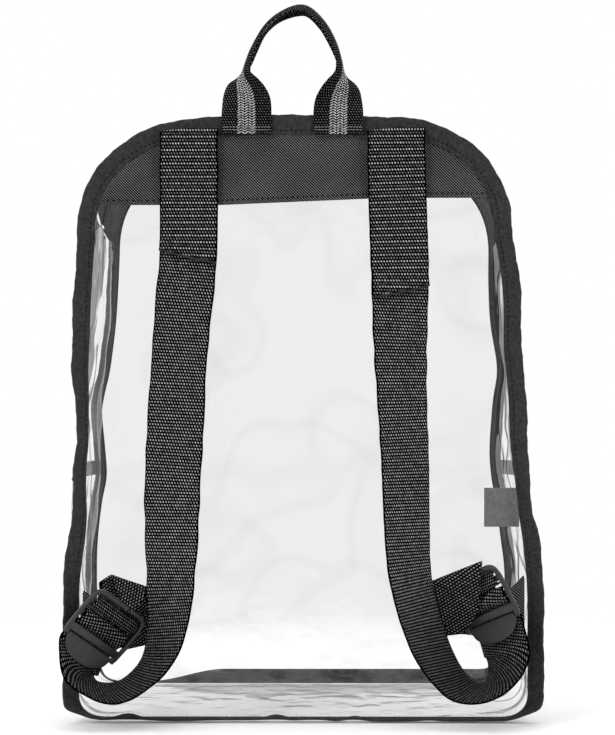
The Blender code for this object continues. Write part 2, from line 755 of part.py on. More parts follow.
# Top with its zipper
wall("top_gusset_back", UPPER, VINYL + GAP, ZIP_FROM, black_twill, CLOTH)
wall("zipper", UPPER, ZIP_FROM + GAP, ZIP_TO - GAP, zip_coil, ZIP_THICK)
wall("top_gusset_front", UPPER, ZIP_TO, DEPTH - VINYL - GAP, black_twill, CLOTH)
zip_slider("zip_slider", zip_metal)

# Edges and yoke
binding("back_binding", BACK_SEAM, BACK_NORMAL, BACK_Y, -1, binding_tape)
binding("front_binding", FRONT_SEAM, FRONT_NORMAL, FRONT_Y, 1, binding_tape)
yoke("back_yoke", black_twill)

# Side pockets
for side, places in (("left", LEFT_PLACES), ("right", RIGHT_PLACES)):
    pocket("side_pocket_" + side, places, POCKET_BOTTOM, POCKET_TOP, 7, VINYL, clear_vinyl)
    pocket("pocket_hem_" + side, places, POCKET_TOP + GAP, POCKET_TOP + POCKET_HEM, 2,
           HEM_THICK, binding_tape)

# Straps, buckles and what anchors them
for side, rows, buckle, end, wing, flat in (
        ("left", LEFT_STRAP, LEFT_BUCKLE, LEFT_LAP_END, LEFT_WING, LEFT_PLATE),
        ("right", RIGHT_STRAP, RIGHT_BUCKLE, RIGHT_LAP_END, RIGHT_WING, RIGHT_PLATE)):
    shoulder_strap("shoulder_strap_" + side, rows, buckle, strap_webbing)
    strap_lap("strap_lap_" + side, rows, end, strap_webbing)
    buckle_frame("buckle_" + side, buckle, buckle_plastic)
    plate("anchor_wing_" + side, wing, GAP, GAP + WING_THICK, black_twill)
    anchor("anchor_webbing_" + side, flat, buckle, strap_webbing)

grab_handle("grab_handle", handle_webbing)
plate("care_label", LABEL, -LABEL_IN, -LABEL_IN - LABEL_THICK, label_cloth)
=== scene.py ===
import bpy
import math
import numpy as np
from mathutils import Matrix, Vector


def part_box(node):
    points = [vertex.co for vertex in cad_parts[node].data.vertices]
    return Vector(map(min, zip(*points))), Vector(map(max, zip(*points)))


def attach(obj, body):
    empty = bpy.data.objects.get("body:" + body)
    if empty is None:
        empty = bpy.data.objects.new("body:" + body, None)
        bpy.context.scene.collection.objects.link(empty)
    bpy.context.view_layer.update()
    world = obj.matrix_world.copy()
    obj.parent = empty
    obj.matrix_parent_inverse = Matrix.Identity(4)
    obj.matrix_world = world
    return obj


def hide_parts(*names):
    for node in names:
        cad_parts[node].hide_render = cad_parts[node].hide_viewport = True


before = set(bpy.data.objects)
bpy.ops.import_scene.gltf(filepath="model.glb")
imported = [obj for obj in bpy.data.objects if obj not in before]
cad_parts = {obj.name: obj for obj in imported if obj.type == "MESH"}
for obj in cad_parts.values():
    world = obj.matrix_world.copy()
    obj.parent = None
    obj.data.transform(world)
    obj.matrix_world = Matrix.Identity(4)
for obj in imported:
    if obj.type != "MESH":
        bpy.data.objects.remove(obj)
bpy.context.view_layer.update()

# Lengths are millimetres until a mesh is made. +X is right seen from the strap
# side, -Y is towards the wearer and +Z is up.
mm = 0.001


# Small tools for shapes

def ripple(u, v, size, seed, count=9):
    # Sine waves in many directions added up; their periods lie round the size
    chance = np.random.default_rng(seed)
    total = 0.0
    for turn, share, shift in chance.uniform((0, 0.55, 0), (np.pi, 1.9, 2 * np.pi), (count, 3)):
        period = size * share
        total = total + share * np.sin(2 * np.pi * (u * np.cos(turn) + v * np.sin(turn)) / period + shift)
    return total / count ** 0.5


def creases(u, v, rows):
    # Each row is a ridge: its middle, its direction, its length and width, its height.
    # The height falls off as a bell curve along the ridge and across it.
    total = 0.0
    for atU, atV, turn, length, width, height in rows:
        c, s = math.cos(math.radians(turn)), math.sin(math.radians(turn))
        along = (u - atU) * c + (v - atV) * s
        across = (v - atV) * c - (u - atU) * s
        total = total + height * np.exp(-(along / length) ** 2 - (across / width) ** 2)
    return total


def easeIn(x, low, high):
    # From 0 at low to 1 at high, level at both ends
    t = np.clip((x - low) / (high - low), 0, 1)
    return t * t * (3 - 2 * t)


def lengthAlong(line):
    # How far each point lies from the first one, along the line
    return np.concatenate([[0], np.cumsum(np.linalg.norm(np.diff(line, axis=0), axis=1))])


def readAt(places, gone, rows):
    # Every column of the rows, read at those lengths between theirs
    return np.stack([np.interp(places, gone, column) for column in rows.T], axis=-1)


def throughRows(rows, count):
    # A Catmull-Rom curve: each span is a cubic whose slopes are half the way between
    # the neighbouring rows. It is read at even steps of its length in space.
    rows = np.array(rows, float)
    ends = np.vstack([2 * rows[0] - rows[1], rows, 2 * rows[-1] - rows[-2]])
    t = np.linspace(0, len(rows) - 1, 60 * len(rows))
    k = np.minimum(t.astype(int), len(rows) - 2)
    f = (t - k)[:, None]
    a, b, c, d = ends[k], ends[k + 1], ends[k + 2], ends[k + 3]
    fine = 0.5 * (2 * b + (c - a) * f + (2 * a - 5 * b + 4 * c - d) * f ** 2
                  + (3 * b - a - 3 * c + d) * f ** 3)
    gone = lengthAlong(fine[:, :3])
    return readAt(np.linspace(0, gone[-1], count), gone, fine)


def unit(rows):
    return rows / np.linalg.norm(rows, axis=-1, keepdims=True)


def gridFaces(rows, columns, roundRows=False, roundColumns=False):
    # Quads between the neighbouring points of a grid, closed round where asked
    r = np.arange(rows if roundRows else rows - 1)[:, None]
    c = np.arange(columns if roundColumns else columns - 1)[None, :]
    nextR, nextC = (r + 1) % rows, (c + 1) % columns
    return np.stack([r * columns + c, r * columns + nextC,
                     nextR * columns + nextC, nextR * columns + c], axis=-1).reshape(-1, 4)


def smallTubes(rows, count):
    # The faces of many six-sided tubes with closed ends, each of that many rings
    last, size = (rows - 1) * 6, rows * 6
    shapes = gridFaces(rows, 6, roundColumns=True), np.array([range(5, -1, -1), range(last, size)])
    shift = (np.arange(count) * size)[:, None, None]
    return [(shape[None] + shift).reshape(-1, shape.shape[1]) for shape in shapes]


def turnedWeave(flat, turn):
    # A flat piece's own map turned by that many degrees, its columns a little wider
    c, s = math.cos(math.radians(turn)), math.sin(math.radians(turn))
    x, y = flat[..., 0], flat[..., 1]
    return np.stack([(x * c + y * s) * 0.8, y * c - x * s + 400], axis=-1)


def makePiece(name, points, faces, finish, uv=None, closed=True, smooth=50):
    # A mesh from points in millimetres. Faces point away from its own middle where
    # it is closed, and away from the middle of the bag where it is an open sheet.
    points = np.asarray(points, float).reshape(-1, 3)
    mesh = bpy.data.meshes.new(name)
    lists = []
    for group in faces:
        lists += np.asarray(group).tolist()
    mesh.from_pydata((points * mm).tolist(), [], lists)
    if uv is not None:
        corner = np.empty(len(mesh.loops), np.int32)
        mesh.loops.foreach_get("vertex_index", corner)
        layer = mesh.uv_layers.new(name="weave")
        flat = (np.asarray(uv, float).reshape(-1, 2)[corner] * mm).astype(np.float32)
        layer.data.foreach_set("uv", flat.ravel())
    count = len(mesh.polygons)
    middle, normal, area = np.empty(count * 3), np.empty(count * 3), np.empty(count)
    mesh.polygons.foreach_get("center", middle)
    mesh.polygons.foreach_get("normal", normal)
    mesh.polygons.foreach_get("area", area)
    middle, normal = middle.reshape(-1, 3), normal.reshape(-1, 3)
    about = middle.mean(0) if closed else np.array([0.0, 0.02, 0.19])
    if ((middle - about) * normal).sum(1) @ area < 0:
        mesh.flip_normals()
    mesh.shade_smooth()
    mesh.set_sharp_from_angle(angle=math.radians(smooth))
    mesh.materials.append(finish)
    piece = bpy.data.objects.new(name, mesh)
    bpy.context.scene.collection.objects.link(piece)
    return piece


def thicken(piece, thick, rim=0.0):
    # Gives a sheet its thickness, half to each side, and rounds its rim
    solid = piece.modifiers.new("thickness", "SOLIDIFY")
    solid.thickness = thick * mm
    solid.offset = 0.0
    if rim:
        bevel = piece.modifiers.new("rim", "BEVEL")
        bevel.width = rim * mm
        bevel.segments = 2
        bevel.limit_method = "ANGLE"
        bevel.angle_limit = math.radians(50)
    return piece


def onBag(piece, slotName, *nodes):
    # The piece moves with the bag and stands for the plain solids named
    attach(piece, "root")
    if nodes:
        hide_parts(*nodes)
    return piece


def addUp(bits):
    # Several (points, faces) pairs put into one list of points and one of faces
    points, faces, start = [], [], 0
    for some, groups in bits:
        some = np.asarray(some, float).reshape(-1, 3)
        points.append(some)
        faces += [np.asarray(group) + start for group in groups]
        start += len(some)
    return np.vstack(points), faces


def tube(rings):
    # Rings of points joined in order, with both ends closed
    rings = np.asarray(rings, float)
    rows, size = rings.shape[:2]
    last = (rows - 1) * size
    return rings.reshape(-1, 3), [gridFaces(rows, size, roundColumns=True),
                                  [list(range(size))[::-1]], [list(range(last, last + size))]]


def oval(halfA, halfB, power, count):
    # A superellipse: a circle at power 2, nearly a rectangle at power 6
    turn = (np.arange(count) + 0.5) / count * 2 * np.pi
    c, s = np.cos(turn), np.sin(turn)
    return np.stack([halfA * np.sign(c) * np.abs(c) ** (2 / power),
                     halfB * np.sign(s) * np.abs(s) ** (2 / power)], axis=1)


# Small tools for finishes

def newFinish(name, colour=None, roughness=0.6):
    made = bpy.data.materials.new(name)
    made.use_nodes = True
    tree = made.node_tree
    shader = tree.nodes["Principled BSDF"]
    if colour is not None:
        shader.inputs["Base Color"].default_value = (*[colour] * 3, 1)
    shader.inputs["Roughness"].default_value = roughness
    return made, tree, shader


def feed(tree, socket, value):
    if isinstance(value, bpy.types.NodeSocket):
        tree.links.new(value, socket)
    else:
        socket.default_value = value


def calc(tree, operation, *values):
    made = tree.nodes.new("ShaderNodeMath")
    made.operation = operation
    for socket, value in zip(made.inputs, values):
        feed(tree, socket, value)
    return made.outputs[0]


def between(tree, value, low, high, toLow=0.0, toHigh=1.0):
    made = tree.nodes.new("ShaderNodeMapRange")
    made.interpolation_type = "SMOOTHSTEP"
    for socket, number in zip(made.inputs, (value, low, high, toLow, toHigh)):
        feed(tree, socket, number)
    return made.outputs[0]


def shades(tree, share, dark, light):
    # Grey from dark to light by the share
    made = tree.nodes.new("ShaderNodeMix")
    made.data_type = "RGBA"
    feed(tree, made.inputs[0], share)
    made.inputs[6].default_value = (*[dark] * 3, 1)
    made.inputs[7].default_value = (*[light] * 3, 1)
    return made.outputs[2]


def splitUp(tree, vector):
    # The three numbers of a vector
    split = tree.nodes.new("ShaderNodeSeparateXYZ")
    tree.links.new(vector, split.inputs[0])
    return split.outputs


def clothPlace(tree):
    # Across and along the piece in millimetres, from its own map
    place = tree.nodes.new("ShaderNodeUVMap")
    place.uv_map = "weave"
    across, along = splitUp(tree, place.outputs[0])[:2]
    return calc(tree, "MULTIPLY", across, 1000), calc(tree, "MULTIPLY", along, 1000)


def cloud(tree, size, detail=3.0, contrast=0.5):
    # Soft noise in space, about as coarse as the size in millimetres
    place = tree.nodes.new("ShaderNodeTexCoord")
    made = tree.nodes.new("ShaderNodeTexNoise")
    made.inputs["Scale"].default_value = 1000 / size
    made.inputs["Detail"].default_value = detail
    made.inputs["Roughness"].default_value = contrast
    tree.links.new(place.outputs["Object"], made.inputs["Vector"])
    return made.outputs[0]


def relief(tree, shader, height, depth, strength=1.0, below=None):
    # Bump of that depth in millimetres
    made = tree.nodes.new("ShaderNodeBump")
    made.inputs["Distance"].default_value = depth * mm
    made.inputs["Strength"].default_value = strength
    feed(tree, made.inputs["Height"], height)
    if below is not None:
        tree.links.new(below, made.inputs["Normal"])
    if shader is not None:
        tree.links.new(made.outputs[0], shader.inputs["Normal"])
    return made.outputs[0]


# Finishes

clearLook = {
    "waveSize": 30.0, "waveDeep": 2.3, "gloss": 0.025,
    "mirror": (0.05, 0.45),  # reflected share head on, and what grazing angles add
    # the swirls are faint dark wavy lines in the tint: painted reflections of dark surroundings
    "swirlSize": 120.0, "swirls": 5.0, "swirlWide": 0.16, "plain": 0.951, "line": 0.912,
    # steep: painted dark reflection that sets in towards grazing angles
    "steep": (0.82, 0.95), "steepLight": 0.16,  # where it turns dark, and what is left
}
# Painted dark reflection on a clear wall: a band near its left back seam and its right side count as steeper, so they
# turn darker
wallReflectionBand = {
    # the band ends at this depth less a share of the squared length, and noise moves it
    "end": (112.0, 116.0), "grow": 0.0042, "noise": 30.0, "noiseSize": 40.0,
    # along the seam: where the band fades out, and where the right side begins
    "fade": (150.0, 220.0), "right": (770.0, 795.0),
    # how much steeper the band, its rim, the rest of the left and the right side count
    "inBand": 0.16, "onRim": 0.12, "beside": -0.03, "onRight": 0.07,
}


def makeVinyl(name, wall=False):
    # Clear sheet: a faint grey tint, a reflection that grows towards grazing angles
    # as a fifth power does, and soft waves in its surface. Painted dark reflections
    # darken what it lets through: in faint wavy lines, towards grazing angles, and on a
    # wall in a band near its left back seam and on its right side.
    made = bpy.data.materials.new(name)
    made.use_nodes = True
    tree = made.node_tree
    tree.nodes.remove(tree.nodes["Principled BSDF"])
    fine = relief(tree, None, cloud(tree, clearLook["waveSize"], 2.0), clearLook["waveDeep"], 0.7)
    weight = tree.nodes.new("ShaderNodeLayerWeight")
    weight.inputs["Blend"].default_value = 0.5
    tree.links.new(fine, weight.inputs["Normal"])
    edge = calc(tree, "POWER", weight.outputs["Facing"], 5.0)
    headOn, grazing = clearLook["mirror"]
    share = calc(tree, "MULTIPLY_ADD", edge, grazing, headOn)
    clear = tree.nodes.new("ShaderNodeBsdfTransparent")
    # Painted reflection: faint dark wavy lines, from noise, in what the sheet lets through
    lines = calc(tree, "MULTIPLY", cloud(tree, clearLook["swirlSize"], 1.5), clearLook["swirls"])
    swirl = between(tree, calc(tree, "PINGPONG", lines, 0.5), 0.0, clearLook["swirlWide"], 1.0, 0.0)
    facing = weight.outputs["Facing"]
    # On a wall, painted dark reflection: a noisy band near the left back seam and the right side count as steeper
    if wall:
        depth, along = clothPlace(tree)
        reach = calc(tree, "MULTIPLY_ADD", calc(tree, "POWER", along, 2.0), wallReflectionBand["grow"], depth)
        noise = cloud(tree, wallReflectionBand["noiseSize"], 1.5)
        reach = calc(tree, "MULTIPLY_ADD", noise, wallReflectionBand["noise"], reach)
        near = between(tree, reach, *wallReflectionBand["end"], 1.0, 0.0)
        rim = calc(tree, "MULTIPLY", calc(tree, "MULTIPLY", near, calc(tree, "SUBTRACT", 1.0, near)), 4.0)
        left = between(tree, along, *wallReflectionBand["fade"], 1.0, 0.0)
        right = between(tree, along, *wallReflectionBand["right"], 0.0, wallReflectionBand["onRight"])
        shift = calc(tree, "MULTIPLY_ADD", rim, wallReflectionBand["onRim"], wallReflectionBand["beside"])
        shift = calc(tree, "MULTIPLY_ADD", near, wallReflectionBand["inBand"], shift)
        facing = calc(tree, "ADD", calc(tree, "MULTIPLY_ADD", shift, left, facing), right)
    # Painted dark reflection: what the sheet lets through turns dark towards grazing angles
    steep = between(tree, facing, *clearLook["steep"], 1.0, clearLook["steepLight"])
    tint = tree.nodes.new("ShaderNodeMix")
    tint.data_type, tint.blend_type = "RGBA", "MULTIPLY"
    tint.inputs[0].default_value = 1.0
    tree.links.new(shades(tree, swirl, clearLook["plain"], clearLook["line"]), tint.inputs[6])
    tree.links.new(shades(tree, steep, 0.0, 1.0), tint.inputs[7])
    tree.links.new(tint.outputs[2], clear.inputs[0])
    gloss = tree.nodes.new("ShaderNodeBsdfGlossy")
    gloss.inputs["Color"].default_value = (1, 1, 1, 1)
    gloss.inputs["Roughness"].default_value = clearLook["gloss"]
    tree.links.new(fine, gloss.inputs["Normal"])
    both = tree.nodes.new("ShaderNodeMixShader")
    tree.links.new(share, both.inputs[0])
    tree.links.new(clear.outputs[0], both.inputs[1])
    tree.links.new(gloss.outputs[0], both.inputs[2])
    tree.links.new(both.outputs[0], tree.nodes["Material Output"].inputs[0])
    return made


def knuckles(tree, u, v, spec):
    # Rows of yarn knuckles in brick bond. A knuckle is 1 - (x/a)^2 - (y/b)^2 in its own
    # cell, leaning a little, and every second row is odd.
    rows = calc(tree, "DIVIDE", v, spec["row"])
    odd = calc(tree, "MODULO", calc(tree, "FLOOR", calc(tree, "ADD", rows, 400.0)), 2.0)
    y = calc(tree, "SUBTRACT", calc(tree, "FRACT", rows), 0.5)
    columns = calc(tree, "MULTIPLY_ADD", odd, 0.5, calc(tree, "DIVIDE", u, spec["column"]))
    x = calc(tree, "SUBTRACT", calc(tree, "FRACT", calc(tree, "ADD", columns, 200.0)), 0.5)
    x = calc(tree, "MULTIPLY_ADD", y, spec["slant"], x)
    far = calc(tree, "ADD", calc(tree, "POWER", calc(tree, "DIVIDE", x, spec["knuckleWide"]), 2.0),
               calc(tree, "POWER", calc(tree, "DIVIDE", y, spec["knuckleTall"]), 2.0))
    return between(tree, far, 0.12, 1.0, 1.0, 0.0), odd


def makeWebbing(name, spec):
    # Knuckles that are duller in every second row, and painted shade that darkens the webbing near the floor
    made, tree, shader = newFinish(name, roughness=0.8)
    u, v = clothPlace(tree)
    knuckle, odd = knuckles(tree, u, v, spec)
    inside = between(tree, calc(tree, "ABSOLUTE", u), spec["half"] - 1.3, spec["half"] - 0.7, 1.0, 0.0)
    dull = calc(tree, "MULTIPLY_ADD", odd, -spec["dull"], 1.0)
    patchy = between(tree, cloud(tree, 2.6, 1.0), 0.3, 0.7, 0.45, 1.0)
    # Painted shade: the webbing darkens below 120 mm up, down to the share low at 20 mm
    height = splitUp(tree, tree.nodes.new("ShaderNodeTexCoord").outputs["Object"])[2]
    low = between(tree, height, 0.02, 0.12, spec["low"], 1.0)
    light = calc(tree, "MULTIPLY", calc(tree, "MULTIPLY", knuckle, inside),
                 calc(tree, "MULTIPLY", dull, calc(tree, "MULTIPLY", patchy, low)))
    tree.links.new(shades(tree, light, spec["dark"], spec["light"]), shader.inputs["Base Color"])
    shader.inputs["Specular IOR Level"].default_value = 0.01
    threads = calc(tree, "SINE", calc(tree, "MULTIPLY", u, 2 * math.pi / 0.45))
    relief(tree, shader, knuckle, 0.3, 0.8, relief(tree, None, threads, 0.04, 0.4))
    return made


def makeChevron(name, spec):
    # A pale stripe of columns that lean left and right by turns, between knuckled sides
    made, tree, shader = newFinish(name, roughness=0.8)
    u, v = clothPlace(tree)
    columns = calc(tree, "ADD", u, 200 * spec["column"] + spec["column"] / 2)
    columns = calc(tree, "DIVIDE", columns, spec["column"])
    odd = calc(tree, "MODULO", calc(tree, "FLOOR", columns), 2.0)
    x = calc(tree, "SUBTRACT", calc(tree, "FRACT", columns), 0.5)
    lean = calc(tree, "MULTIPLY", x, calc(tree, "MULTIPLY_ADD", odd, -2 * spec["lean"], spec["lean"]))
    rows = calc(tree, "ADD", calc(tree, "DIVIDE", v, spec["row"]), calc(tree, "ADD", lean, 50.0))
    y = calc(tree, "SUBTRACT", calc(tree, "FRACT", rows), 0.5)
    yarn = between(tree, calc(tree, "ABSOLUTE", y), 0.08, 0.27, 1.0, 0.0)
    yarn = calc(tree, "MULTIPLY", yarn, between(tree, calc(tree, "ABSOLUTE", x), 0.28, 0.5, 1.0, 0.05))
    knuckle, oddRow = knuckles(tree, u, v, spec["sides"])
    stripe = between(tree, calc(tree, "ABSOLUTE", u), spec["stripe"] - 0.2, spec["stripe"] + 0.2, 1.0, 0.0)
    patchy = between(tree, cloud(tree, 2.4, 1.0), 0.3, 0.7, 0.5, 1.0)
    pale = calc(tree, "MULTIPLY", calc(tree, "MULTIPLY", yarn, stripe), spec["pale"])
    plain = calc(tree, "MULTIPLY", knuckle, calc(tree, "SUBTRACT", 1.0, stripe))
    plain = calc(tree, "MULTIPLY", plain, spec["light"])
    light = calc(tree, "MULTIPLY", calc(tree, "ADD", pale, plain), patchy)
    tree.links.new(shades(tree, light, spec["dark"], 1.0), shader.inputs["Base Color"])
    shader.inputs["Specular IOR Level"].default_value = 0.01
    relief(tree, shader, calc(tree, "MAXIMUM", yarn, knuckle), 0.25, 0.8)
    return made


def makeTwill(name, spec):
    # Diagonal ribs, broken up by noise, over a cloth that shades softly in places
    made, tree, shader = newFinish(name, roughness=0.72)
    u, v = clothPlace(tree)
    place = calc(tree, "MULTIPLY", calc(tree, "ADD", u, v), 2 * math.pi / spec["pitch"])
    rib = calc(tree, "MULTIPLY_ADD", calc(tree, "SINE", place), 0.5, 0.5)
    other = calc(tree, "MULTIPLY", calc(tree, "SUBTRACT", u, v), 2 * math.pi / (spec["pitch"] * 0.8))
    yarns = calc(tree, "MULTIPLY_ADD", calc(tree, "SINE", other), 0.06, 0.94)
    worn = between(tree, cloud(tree, 26.0, 3.0), 0.3, 0.7, 0.75, 1.0)
    light = calc(tree, "MULTIPLY", calc(tree, "MULTIPLY", between(tree, rib, 0.5, 0.95), yarns), worn)
    tree.links.new(shades(tree, light, spec["dark"], spec["light"]), shader.inputs["Base Color"])
    shader.inputs["Specular IOR Level"].default_value = 0.01
    relief(tree, shader, rib, 0.12, 0.6, relief(tree, None, cloud(tree, 12.0), 0.4, 0.4))
    return made


def makeTape(name, spec):
    # A close plain weave: two fine sine patterns at right angles, rubbed paler in places
    made, tree, shader = newFinish(name, roughness=0.8)
    u, v = clothPlace(tree)
    over = calc(tree, "SINE", calc(tree, "MULTIPLY", u, 2 * math.pi / spec["pitch"]))
    under = calc(tree, "SINE", calc(tree, "MULTIPLY", v, 2 * math.pi / spec["pitch"]))
    weave = calc(tree, "MULTIPLY_ADD", calc(tree, "MULTIPLY", over, under), 0.5, 0.5)
    rubbed = between(tree, cloud(tree, 2.2, 3.0, 0.7), 0.3, 0.75, 0.35, 1.0)
    light = calc(tree, "MULTIPLY", calc(tree, "MULTIPLY_ADD", weave, 0.5, 0.5), rubbed)
    tree.links.new(shades(tree, light, spec["dark"], spec["light"]), shader.inputs["Base Color"])
    shader.inputs["Specular IOR Level"].default_value = 0.12
    relief(tree, shader, weave, 0.10, 0.7, relief(tree, None, cloud(tree, 5.0, 3.0), 0.25, 0.4))
    return made


def makePlastic(name, colour, roughness, grain):
    # Moulded plastic: fine grain, and a few faint rubbed patches
    made, tree, shader = newFinish(name, roughness=roughness)
    rubbed = between(tree, cloud(tree, 6.0, 4.0, 0.7), 0.45, 0.8)
    tree.links.new(shades(tree, rubbed, colour, colour * 1.7), shader.inputs["Base Color"])
    relief(tree, shader, cloud(tree, 0.5, 2.0), grain, 0.6)
    return made


def makeThread(name, colour):
    made, tree, shader = newFinish(name, roughness=0.7)
    u, v = clothPlace(tree)
    twist = calc(tree, "SINE", calc(tree, "MULTIPLY", calc(tree, "ADD", u, v), 2 * math.pi / 0.5))
    light = calc(tree, "MULTIPLY_ADD", twist, 0.3, 0.6)
    tree.links.new(shades(tree, light, colour * 0.5, colour * 1.4), shader.inputs["Base Color"])
    relief(tree, shader, twist, 0.08, 0.6)
    return made


vinyl = makeVinyl("clearVinyl")
wallVinyl = makeVinyl("clearVinylWall", wall=True)
twill = makeTwill("blackTwill", {"pitch": 1.85, "dark": 0.0, "light": 0.27})
tape = makeTape("bindingTape", {"pitch": 0.8, "dark": 0.011, "light": 0.076})
# low: the light that the painted shade near the floor leaves on the webbing
strapSpec = {"row": 2.06, "column": 1.86, "knuckleWide": 0.33, "knuckleTall": 0.38, "slant": -0.35,
             "half": 18.7, "dull": 0.12, "dark": 0.0, "light": 0.60, "low": 0.40}
webbing = makeWebbing("strapWebbing", strapSpec)
lapWebbing = makeWebbing("lapWebbing", dict(strapSpec, row=2.14, dull=0.60, light=0.80))
anchorWebbing = makeWebbing("anchorWebbing", dict(strapSpec, row=1.7, column=1.7, light=0.36, low=0.6))
chevron = makeChevron("handleWebbing", {"row": 1.66, "column": 2.36, "lean": 0.9, "stripe": 5.9,
                                        "dark": 0.0, "light": 0.17, "pale": 1.3,
                                        "sides": dict(strapSpec, row=1.7, column=1.8)})
plastic = makePlastic("bucklePlastic", 0.018, 0.38, 0.03)
coilPlastic = makePlastic("zipCoil", 0.015, 0.45, 0.01)
thread = makeThread("darkThread", 0.002)
paleThread = makeThread("paleThread", 0.30)
metal = makePlastic("zipMetal", 0.06, 0.35, 0.02)
metal.node_tree.nodes["Principled BSDF"].inputs["Metallic"].default_value = 0.8
labelCloth = makeTape("labelCloth", {"pitch": 0.5, "dark": 0.12, "light": 0.29})
print("finishes made")


# The bag's seams

bag = {
    "backY": -55.5, "depth": 150.0, "topSeam": 382.8, "shoulder": 312.9,
    "backBottom": 1.2, "frontBottom": 1.6, "cornerRise": 17.0, "cornerRun": 21.0,
    "topHalf": 54.0, "topCrown": 1.3, "bottomRound": 2.2, "topLeftRound": 2.3, "topRightRound": 2.2,
    "wallBow": 2.5, "topSlant": 9.0,
    # height, left and right half of the width
    # and how far the binding rolls out of the seam's plane there, in degrees
    "backSides": ((321.7, 136.1, 125.5, 10, 35), (312.9, 137.9, 127.0, 28, 25), (300.0, 139.3, 129.4, 34, 23),
                  (275.0, 140.6, 132.2, 24, 22), (244.0, 142.0, 132.6, 32, 27), (228.0, 142.6, 134.1, 34, 24),
                  (212.8, 142.6, 135.4, 49, 24), (197.0, 142.9, 136.1, 59, 24), (181.6, 143.2, 136.8, 64, 26),
                  (166.0, 144.3, 139.0, 54, 40), (150.0, 144.6, 141.4, 58, 53), (134.8, 143.9, 143.0, 49, 50),
                  (119.0, 144.6, 145.0, 32, 33), (103.6, 146.8, 146.7, 33, 34), (88.0, 148.5, 147.9, 39, 35),
                  (70.0, 148.9, 148.3, 43, 38), (16.0, 148.9, 148.4, 40, 38)),
    "frontSides": ((312.9, 137.0, 135.8), (288.0, 138.1, 135.8), (262.0, 139.8, 137.2), (236.0, 142.9, 141.4),
                   (223.0, 145.1, 141.7), (210.0, 148.1, 139.6), (197.0, 149.8, 138.2), (171.0, 147.6, 136.6),
                   (152.0, 146.5, 137.8), (132.0, 150.0, 141.2), (106.0, 152.9, 144.7), (80.0, 153.6, 147.4),
                   (29.0, 152.8, 147.2), (20.0, 152.0, 147.0)),
}
frontY = bag["backY"] + bag["depth"]
parts = {"side": 120, "low": 20, "bottom": 120, "high": 48, "top": 60}
lowerCount = 2 * parts["side"] + 2 * parts["low"] + parts["bottom"]


def quarter(across, up, run, rise, power, turns):
    # A quarter of a superellipse round its own centre
    c, s = np.cos(turns), np.sin(turns)
    return np.stack([across + run * np.sign(c) * np.abs(c) ** (2 / power),
                     up + rise * np.sign(s) * np.abs(s) ** (2 / power)], axis=1)


def seamLoop(bottom, table):
    # Down the left side, along the bottom, up the right side and back over the top.
    # The sides follow a smooth curve through the table's rows.
    low = bottom + bag["cornerRise"]
    heights = np.linspace(bag["shoulder"], low, parts["side"])
    curve = throughRows(np.array(table)[:, :3], 600)
    left = np.interp(heights, curve[::-1, 0], curve[::-1, 1])
    right = np.interp(heights, curve[::-1, 0], curve[::-1, 2])
    run, rise, half = bag["cornerRun"], bag["cornerRise"], bag["topHalf"]
    floorLeft, floorRight = -left[-1] + run, right[-1] - run
    shoulderRise = bag["topSeam"] - bag["topCrown"] - bag["shoulder"]
    top = np.linspace(half, -half, parts["top"])
    lowTurn = np.linspace(np.pi, 1.5 * np.pi, parts["low"] + 2)[1:-1]
    highTurn = np.linspace(0, np.pi / 2, parts["high"] + 2)[1:-1]
    return np.vstack([
        np.stack([-left, heights], axis=1),
        quarter(floorLeft, low, run, rise, bag["bottomRound"], lowTurn),
        np.column_stack([np.linspace(floorLeft, floorRight, parts["bottom"]), np.full(parts["bottom"], bottom)]),
        quarter(floorRight, low, run, rise, bag["bottomRound"], lowTurn + np.pi / 2),
        np.stack([right, heights], axis=1)[::-1],
        quarter(half, bag["shoulder"], right[0] - half, shoulderRise, bag["topRightRound"], highTurn),
        np.stack([top, bag["topSeam"] - bag["topCrown"] * (top / half) ** 2], axis=1),
        quarter(-half, bag["shoulder"], left[0] - half, shoulderRise, bag["topLeftRound"],
                highTurn + np.pi / 2),
    ])


def outward(loop):
    # Unit normals in the panel's plane, away from the bag
    along = unit(np.roll(loop, -1, axis=0) - np.roll(loop, 1, axis=0))
    return np.stack([along[:, 1], -along[:, 0]], axis=1)


backSeam = seamLoop(bag["backBottom"], bag["backSides"])
frontSeam = seamLoop(bag["frontBottom"], bag["frontSides"])
backNormal, frontNormal = outward(backSeam), outward(frontSeam)
seamLength = lengthAlong(backSeam)
lowerPlaces = np.arange(lowerCount, dtype=float)
upperPlaces = np.arange(lowerCount - 1, len(backSeam) + 1, dtype=float)


def atPlace(rows, place):
    # A row of a closed loop, or a point between two rows
    first = np.floor(place).astype(int)
    share = (place - first)[..., None]
    return rows[first % len(rows)] * (1 - share) + rows[(first + 1) % len(rows)] * share


def wallPoint(place, v, lift):
    # The wall between the seams: place along them, v from back to front, lift outwards
    at = atPlace(backSeam, place) * (1 - v)[..., None] + atPlace(frontSeam, place) * v[..., None]
    clear = easeIn(at[..., 1], 20, 80)
    bow = bag["wallBow"] * np.sin(np.pi * v) * clear
    at = at + atPlace(backNormal, place) * (bow + lift)[..., None]
    return np.stack([at[..., 0], bag["backY"] + bag["depth"] * v, at[..., 1]], axis=-1)


def wallGrid(places, low, high, steps, lift, reach):
    # A strip of the wall between two depths; lift is a function of length and depth. Its
    # ends reach further along the seam the nearer they are to the strap side.
    v = np.linspace(low, high, steps) / bag["depth"]
    place, v = np.meshgrid(places, v, indexing="ij")
    middle, half = (places[0] + places[-1]) / 2, (places[-1] - places[0]) / 2
    place = middle + (place - middle) * (1 + reach * bag["topSlant"] * (1 - v) / half)
    along = np.interp(place, np.arange(len(seamLength)), seamLength)
    depth = v * bag["depth"]
    points = wallPoint(place, v, lift(along, depth))
    return points, np.stack([depth, along], axis=-1)


# Clear body

